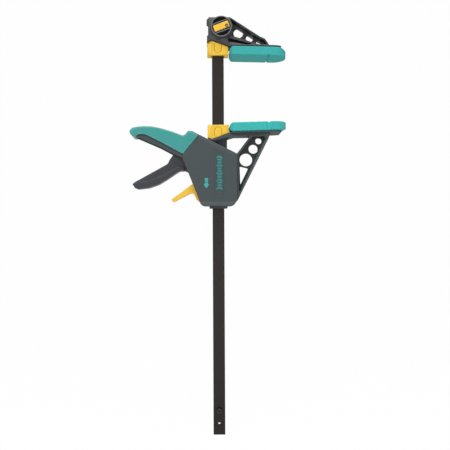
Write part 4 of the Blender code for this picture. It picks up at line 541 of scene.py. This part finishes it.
def platePiece(name, outlines, near, far, finish, edge=0.0, segments=3):
    # the first outline less the others, filled flat and carried along Y from near to far
    curve = bpy.data.curves.new(name + "_outline", "CURVE")
    curve.dimensions = "2D"
    curve.fill_mode = "BOTH"
    for ring in outlines:
        spline = curve.splines.new("POLY")
        spline.points.add(len(ring) - 1)
        flat = np.zeros((len(ring), 4))
        flat[:, :2] = ring
        flat[:, 3] = 1
        spline.points.foreach_set("co", flat.ravel())
        spline.use_cyclic_u = True
    holder = bpy.data.objects.new(name + "_outline", curve)
    work = bmesh.new()
    work.from_mesh(holder.to_mesh())
    bmesh.ops.remove_doubles(work, verts=work.verts, dist=weld["outline"])
    bmesh.ops.dissolve_limit(work, angle_limit=weld["flatAngle"], verts=work.verts, edges=work.edges)
    # upright stands the flat sheet at near, its Y as Z, and pressed sets what grew from it at far
    upright = Matrix(((1, 0, 0, 0), (0, 0, 0, near), (0, 1, 0, 0), (0, 0, 0, 1)))
    pressed = Matrix(((1, 0, 0, 0), (0, 0, 0, far), (0, 0, 1, 0), (0, 0, 0, 1)))
    bmesh.ops.transform(work, matrix=upright, verts=work.verts)
    grown = bmesh.ops.extrude_face_region(work, geom=list(work.faces), use_keep_orig=True)
    carried = [item for item in grown["geom"] if isinstance(item, bmesh.types.BMVert)]
    bmesh.ops.transform(work, matrix=pressed, verts=carried)
    bmesh.ops.recalc_face_normals(work, faces=work.faces)
    mesh = bpy.data.meshes.new(name)
    work.to_mesh(mesh)
    work.free()
    bpy.data.objects.remove(holder)
    bpy.data.curves.remove(curve)
    piece = linkedPiece(name, mesh, finish, softAngle)
    if edge:
        bevel = piece.modifiers.new("edge", "BEVEL")
        bevel.width = edge
        bevel.segments = segments
        bevel.limit_method = "ANGLE"
        bevel.angle_limit = math.radians(softAngle)
        bevel.harden_normals = True
    return piece


def spun(ring, centre, angle):
    # a ring turned about centre
    offset = np.asarray(ring) - centre
    c, s = math.cos(angle), math.sin(angle)
    x = centre[0] + offset[:, 0] * c - offset[:, 1] * s
    z = centre[1] + offset[:, 0] * s + offset[:, 1] * c
    return np.stack([x, z], axis=-1)


def smoothCopy(node, angle):
    # the node's triangles merged, shaded smooth over its fillets and held flat on its faces
    work = bmesh.new()
    work.from_mesh(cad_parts[node].data)
    bmesh.ops.remove_doubles(work, verts=work.verts, dist=weld["moulding"])
    mesh = bpy.data.meshes.new(node + "_moulding")
    work.to_mesh(mesh)
    work.free()
    piece = linkedPiece(node + "_moulding", mesh, nodeFinish[node], angle)
    byFace = piece.modifiers.new("faces", "WEIGHTED_NORMAL")
    byFace.keep_sharp = True
    return piece


def fit(piece, body, slot, *nodes):
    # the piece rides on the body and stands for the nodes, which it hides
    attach(piece, body)
    if nodes:
        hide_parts(*nodes)


# Mouldings, shaded smooth over their fillets: body, slot and the angle that stays sharp

mouldings = {
    "fixed_jaw": ("bar_and_head", "head_plastic", 24),
    "jaw_body": ("carriage", "housing_plastic", 30),
    "front_cover": ("carriage", "housing_plastic", 30),
    "grip_cover": ("carriage", "teal_soft_plastic", 32),
    "fixed_pad": ("bar_and_head", "teal_soft_plastic", 16),
    "moving_pad": ("carriage", "teal_soft_plastic", 16),
    "fixed_collar": ("bar_and_head", "yellow_plastic", 24),
    "moving_collar": ("carriage", "yellow_plastic", 24),
    "lower_bar_guide": ("carriage", "housing_plastic", 24),
    "trigger": ("trigger", "lever_plastic", 32),
    "release_lever": ("release_lever", "yellow_plastic", 32),
}
for node, (body, slot, angle) in mouldings.items():
    fit(smoothCopy(node, angle), body, slot, node)
print("mouldings smoothed:", len(mouldings))


# Springs: each node replaced by a smoothed copy, baked where it stands

springs = {"drive_spring": "drive_plates", "brake_spring": "brake_plate"}
coilAngle = 60
for node, plate in springs.items():
    coil = smoothCopy(node, coilAngle)
    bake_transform(coil)
    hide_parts(node)
print("springs blended:", len(springs))


# Lock knob with its ridge, insert and rivet; a depth is a place along Y, lowest at the front

knob = {
    "centre": (0.0054, 0.6930), "tilt": math.radians(20.4), "radius": 0.0175, "skirt": 0.0185, "rim": 0.0016,
    "back": -0.0063, "skirtTop": -0.0092, "front": -0.0200, "floor": -0.0151,
    "ring": 0.0012, "round": 0.0007, "chamfer": 0.0004, "fillet": 0.0003, "lap": 0.0001,
    "ridgeHalf": 0.0086, "ridgeFront": -0.0192, "ridgeRoot": 0.0004, "ridgeLap": 0.0002, "ridgeEdge": 0.0004,
    "ridgeSteps": 18,
    "bead": 0.0012, "beadStand": 0.0003, "beadEdge": 0.0003, "shadeDiscDepth": 0.0004,
    "seat": (0.0280, 0.0122), "seatCorner": 0.0018,
    "insert": (0.0264, 0.0104), "insertCorner": 0.0014, "insertEdge": 0.0008,
    "insertFront": -0.0198, "insertBack": -0.0171,
    "rivetAt": (0.0088, -0.0020), "holeRadius": 0.0030, "holeFloor": -0.0183, "rivetRadius": 0.0019,
    "rivetDome": ((0, -0.0193), (0.45, -0.01925), (0.8, -0.0190), (1.0, -0.0186)),
}


def roundedStep(radius, depth, size, start, steps=5):
    # a quarter circle in the (radius, depth) profile, from angle start on
    turn = start + np.linspace(0, math.pi / 2, steps)
    return np.stack([radius + size * np.cos(turn), depth + size * np.sin(turn)], axis=-1).tolist()


def knobBody():
    # a stepped profile turned round the knob's axis, and the rim's rounded lip turned the same way in a
    # lighter plastic, a painted highlight ring
    k = knob
    cut, fillet, lap = k["chamfer"], k["fillet"], k["lap"]
    outer, skirt = k["radius"], k["skirt"]
    inner = outer - k["rim"]
    seat = k["front"] + k["ring"]
    shell = [[0, k["back"]], [skirt - cut, k["back"]], [skirt, k["back"] - cut], [skirt, k["skirtTop"] + cut],
             [skirt - cut, k["skirtTop"]], [outer, k["skirtTop"] - fillet], [outer, seat], [inner, seat],
             [inner, k["floor"] - fillet], [inner - fillet, k["floor"]], [0, k["floor"]]]
    r = k["round"]
    lip = roundedStep(outer - r, k["front"] + r, r, -math.pi / 2)[::-1]
    lip += roundedStep(inner + r, k["front"] + r, r, math.pi)[::-1]
    ring = [[outer + lap, seat]] + lip + [[inner - lap, seat], [outer + lap, seat]]
    return (turnedPiece("knob_shell", shell, k["centre"], "knobPlastic", steps=128),
            turnedPiece("knob_ring", ring, k["centre"], "knobHighlightPlastic", steps=128))


def seatRing(size, corner):
    # a rounded rectangle about the knob's centre, turned by its tilt
    x, z = knob["centre"]
    a, b = size[0] / 2, size[1] / 2
    ring = roundedRing(boxCorners(x - a, x + a, z - b, z + b, corner), steps=7)
    return spun(ring, (x, z), knob["tilt"])


def knobRidge():
    # the strip of the knob's disc between two chords, with the insert's seat left open, in a darker copy of
    # the knob's plastic as painted shade
    k = knob
    x, z = k["centre"]
    reach = k["radius"] - k["rim"] + k["ridgeLap"]
    limit = math.asin(k["ridgeHalf"] / reach)
    right = np.linspace(-limit, limit, k["ridgeSteps"])
    both = np.concatenate([right, right + math.pi])
    outer = np.stack([x + reach * np.cos(both), z + reach * np.sin(both)], axis=-1)
    outlines = [spun(outer, (x, z), k["tilt"]), seatRing(k["seat"], k["seatCorner"])]
    return platePiece("knob_ridge", outlines, k["ridgeFront"], k["floor"] + k["ridgeRoot"], "shadedRidgePlastic",
                      k["ridgeEdge"], segments=2)


def ridgeBeads():
    # a thin raised strip along each straight edge of the ridge, in the lighter plastic as a painted highlight
    k = knob
    x, z = k["centre"]
    reach = math.sqrt((k["radius"] - k["rim"]) ** 2 - k["ridgeHalf"] ** 2)
    beads = []
    for n, side in enumerate((1, -1)):
        outer = z + side * (k["ridgeHalf"] + k["lap"])
        strip = spun(boxCorners(x - reach, x + reach, outer - side * k["bead"], outer), (x, z), k["tilt"])
        beads.append(platePiece("knob_bead_%d" % n, [strip], k["ridgeFront"] - k["beadStand"], k["floor"],
                                "knobHighlightPlastic", k["beadEdge"], segments=2))
    return beads


def knobPocketShade():
    # painted shade: a thin near-black disc over the floor on both sides of the ridge, standing for the
    # pockets' shade
    k = knob
    reach = k["radius"] - k["rim"] - k["lap"]
    top, root = k["floor"] - k["shadeDiscDepth"], k["floor"] + k["lap"]
    disc = [[0, top], [reach, top], [reach, root], [0, root]]
    return turnedPiece("knob_pocket_shade", disc, k["centre"], "pocketShadePlastic")


def knobInsert():
    # a rounded plate with a round hole; turned round the hole's axis, a disc for its floor, painted shade in
    # a darker copy of the yellow plastic, and a domed rivet
    k = knob
    x, z = k["centre"]
    at = spun([(x + k["rivetAt"][0], z + k["rivetAt"][1])], (x, z), k["tilt"])[0]
    outlines = [seatRing(k["insert"], k["insertCorner"]), circleRing(*at, k["holeRadius"], steps=48)]
    insert = platePiece("knob_insert_plate", outlines, k["insertFront"], k["insertBack"], "yellowPlastic",
                        k["insertEdge"])
    reach = k["holeRadius"] - k["lap"]
    disc = [[0, k["holeFloor"]], [reach, k["holeFloor"]], [reach, k["insertBack"]], [0, k["insertBack"]]]
    floor = turnedPiece("knob_insert_hole_shade", disc, at, "shadedYellow", steps=48)
    dome = [[share * k["rivetRadius"], depth] for share, depth in k["rivetDome"]]
    dome += [[k["rivetRadius"], k["insertBack"]], [0, k["insertBack"]]]
    return insert, floor, turnedPiece("knob_rivet_head", dome, at, "rivetSteel", steps=48)


knobShell, knobRing = knobBody()
fit(knobShell, "knob", "head_plastic", "lock_knob")
for piece in [knobRing, knobRidge()] + ridgeBeads() + [knobPocketShade()]:
    fit(piece, "knob", "head_plastic")
insertPlate, insertHoleShade, rivetHead = knobInsert()
fit(insertPlate, "knob", "yellow_plastic", "knob_insert")
fit(insertHoleShade, "knob", "yellow_plastic")
fit(rivetHead, "knob", "bright_steel", "knob_rivet")
print("knob built")


# Bar with its holes, and the stop pin; a hole is its height and radius

pin = {"height": 0.0424, "radius": 0.0042, "bore": 0.0016, "stand": 0.0090, "chamfer": 0.0005,
       "boreChamfer": 0.0003}
bar = {"half": 0.0100, "thick": 0.0030, "length": 0.7115, "corner": 0.0006, "edge": 0.0005,
       "holes": ((0.6930, 0.0040), (pin["height"], 0.0043), (0.0185, 0.0024))}


def barPiece():
    # a rounded rectangle less three circles, carried along Y
    outline = roundedRing(boxCorners(-bar["half"], bar["half"], 0, bar["length"], bar["corner"]), steps=4)
    holes = [circleRing(0, *hole, steps=40) for hole in bar["holes"]]
    return platePiece("bar_flat", [outline] + holes, -bar["thick"], bar["thick"], "brownedSteel",
                      bar["edge"])


def stopPin():
    # a chamfered tube across the bar: the profile of its wall turned round the pin's axis
    end, radius, bore = pin["stand"], pin["radius"], pin["bore"]
    cut, lip = pin["chamfer"], pin["boreChamfer"]
    wall = [[bore, -end + lip], [bore + lip, -end], [radius - cut, -end], [radius, -end + cut],
            [radius, end - cut], [radius - cut, end], [bore + lip, end], [bore, end - lip],
            [bore, -end + lip]]
    return turnedPiece("stop_pin_tube", wall, (0, pin["height"]), "blackedSteel", steps=48)


fit(barPiece(), "bar_and_head", "black_steel", "bar")
fit(stopPin(), "bar_and_head", "black_steel", "bar_stop_pin")
print("bar built")


# Printed marks on the cover: a plain arrow and plain ticks

mark = {
    "face": -0.0160, "thick": 0.0003, "root": 0.0002,
    "arrowX": -0.0206, "bars": ((0.4353, 0.4386), (0.4319, 0.4348)), "barHalf": 0.0028,
    "neck": 0.4310, "shoulder": 0.4281, "tip": 0.4211, "headHalf": 0.0050,
    "tickX": 0.0016, "tickFirst": 0.4205, "tickStep": 0.0026, "ticks": 22, "longEvery": 5,
    "tickHalf": (0.0056, 0.0036), "tickThick": 0.0011,
}


def arrowMark():
    # an arrow head of seven corners and two short bars behind it, each carried along Y
    m = mark
    x, half, wing = m["arrowX"], m["barHalf"], m["headHalf"]
    head = [(x - half, m["neck"]), (x - half, m["shoulder"]), (x - wing, m["shoulder"]), (x, m["tip"]),
            (x + wing, m["shoulder"]), (x + half, m["shoulder"]), (x + half, m["neck"])]
    shapes = {"arrow_head": head}
    shapes |= {"arrow_bar_%d" % n: boxCorners(x - half, x + half, *ends) for n, ends in enumerate(m["bars"])}
    return [platePiece(name, [np.array(shape)], m["face"] - m["thick"], m["face"] + m["root"], "tealInk")
            for name, shape in shapes.items()]


def tickMarks():
    # one mesh of blocks: tick n at height first + n * step, every fifth one longer
    m = mark
    n = np.arange(m["ticks"])
    half = np.where(n % m["longEvery"] == 0, m["tickHalf"][0], m["tickHalf"][1])
    z = m["tickFirst"] + n * m["tickStep"]
    sideX = np.array([-1, 1, 1, -1, -1, 1, 1, -1])
    sideY = np.array([0, 0, 0, 0, 1, 1, 1, 1])
    sideZ = np.array([-1, -1, 1, 1, -1, -1, 1, 1])
    x = m["tickX"] + half[:, None] * sideX
    y = np.broadcast_to(m["face"] - m["thick"] + sideY * (m["thick"] + m["root"]), x.shape)
    height = z[:, None] + sideZ * m["tickThick"] / 2
    points = np.stack([x, y, height], axis=-1).reshape(-1, 3)
    block = np.array([(0, 1, 2, 3), (4, 7, 6, 5), (0, 4, 5, 1), (1, 5, 6, 2), (2, 6, 7, 3), (3, 7, 4, 0)])
    faces = (block[None, :, :] + 8 * n[:, None, None]).reshape(-1, 4)
    return meshFrom("tick_marks", points, faces, "tealInk")


for piece in arrowMark() + [tickMarks()]:
    fit(piece, "carriage", "teal_soft_plastic")
print("marks laid on the cover")


# Floor, light and camera

backdrop = {"halfWidth": 4.0, "front": -3.0, "bend": 1.2, "radius": 0.8, "height": 3.5, "bendSteps": 13,
            "columns": 3, "paper": (0.80, 0.82), "fibreScale": 6.0, "whiteShare": 0.978, "airStrength": 0.36}


def sweptFloor():
    # a profile that runs flat along Y, turns up over a quarter circle and ends as a wall, carried across X
    b = backdrop
    columns = b["columns"]
    turn = np.linspace(0, math.pi / 2, b["bendSteps"])
    along = np.concatenate([[b["front"]], b["bend"] + b["radius"] * np.sin(turn), [b["bend"] + b["radius"]]])
    up = np.concatenate([[0.0], b["radius"] * (1 - np.cos(turn)), [b["height"]]])
    n = len(along)
    across = np.linspace(-b["halfWidth"], b["halfWidth"], columns)
    points = np.stack([np.repeat(across, n), np.tile(along, columns), np.tile(up, columns)], axis=1)
    low = (np.arange(columns - 1)[:, None] * n + np.arange(n - 1)[None, :]).ravel()
    faces = np.stack([low, low + n, low + n + 1, low + 1], axis=1)
    mesh = bpy.data.meshes.new("backdrop")
    mesh.from_pydata(points.tolist(), [], faces.tolist())
    mesh.polygons.foreach_set("use_smooth", np.ones(len(faces), bool))
    return mesh


def seenDirectly(tree):
    # 1 for a camera ray and for one that gloss or glass sends on, 0 for the light that falls on the object
    ray = addNode(tree, "ShaderNodeLightPath", (-600, -200)).outputs
    sentOn = maths(tree, (-400, -300), "MAXIMUM", ray["Is Glossy Ray"], ray["Is Transmission Ray"])
    return maths(tree, (-250, -250), "MAXIMUM", ray["Is Camera Ray"], sentOn)


def paperMaterial():
    # plain white paper; what the camera sees is lifted towards white, and the shadow is kept
    material, tree, surface = clearedMaterial("whitePaper")
    low, high = backdrop["paper"]
    paper = addNode(tree, "ShaderNodeBsdfDiffuse", (0, 100))
    fibre = addNode(tree, "ShaderNodeTexNoise", (-400, 100))
    feed(tree, fibre, Scale=backdrop["fibreScale"], Detail=4.0)
    tone = blendColour(tree, (-200, 100), fibre.outputs[0], (low, low, low, 1), (high, high, high, 1))
    feed(tree, paper, Color=tone)
    glow = addNode(tree, "ShaderNodeEmission", (0, -100))
    feed(tree, glow, Color=(1, 1, 1, 1), Strength=1.0)
    share = maths(tree, (100, -250), "MULTIPLY", seenDirectly(tree), backdrop["whiteShare"])
    mix = addNode(tree, "ShaderNodeMixShader", (400, 0))
    feed(tree, mix, i0=share, i1=paper.outputs[0], i2=glow.outputs[0])
    wire(tree, mix.outputs[0], surface)
    return material


floor = bpy.data.objects.new("backdrop", sweptFloor())
bpy.context.scene.collection.objects.link(floor)
floor.data.materials.append(paperMaterial())

world = bpy.data.worlds.new("studio")
bpy.context.scene.world = world
world.use_nodes = True
air = world.node_tree
strength = remap(air, (-120, 0), seenDirectly(air), 0.0, 1.0, backdrop["airStrength"], 1.0)
feed(air, air.nodes["Background"], Color=(1, 1, 1, 1), Strength=strength)

lamps = {
    "keyLamp": {"from": (-0.9, -1.3, 1.5), "size": (0.9, 0.9), "power": 15.0},
    "lowLamp": {"from": (-0.2, -1.2, 0.06), "size": (1.4, 0.3), "power": 7.0},
    "fillLamp": {"from": (1.3, -1.2, 0.6), "size": (1.0, 1.2), "power": 5.5},
    "topLamp": {"from": (0.1, -0.35, 1.9), "size": (1.2, 1.0), "power": 18.0},
}
aim = (0.0, 0.0, 0.42)
for name, lamp in lamps.items():
    light = bpy.data.lights.new(name, "AREA")
    light.shape = "RECTANGLE"
    light.size, light.size_y = lamp["size"]
    light.energy = lamp["power"]
    holder = bpy.data.objects.new(name, light)
    bpy.context.scene.collection.objects.link(holder)
    holder.location = lamp["from"]
    x, y, z = np.subtract(aim, lamp["from"])
    holder.rotation_euler = (math.atan2(math.hypot(x, y), -z), 0, math.atan2(-x, y))
print("lights placed:", len(lamps))

cameraSpot = {"place": (-0.0267, -0.770, 0.3595), "lens": 35.8, "shift": 0.0489, "roll": 0.25,
              "nearClip": 0.01}
camera = bpy.data.cameras.new("photoCamera")
camera.lens = cameraSpot["lens"]
camera.shift_x = cameraSpot["shift"]
camera.clip_start = cameraSpot["nearClip"]
cameraHolder = bpy.data.objects.new("photoCamera", camera)
bpy.context.scene.collection.objects.link(cameraHolder)
cameraHolder.location = cameraSpot["place"]
cameraHolder.rotation_euler = (math.pi / 2, math.radians(cameraSpot["roll"]), 0)
bpy.context.scene.camera = cameraHolder
bpy.context.scene.view_settings.view_transform = "Standard"
print("camera placed")
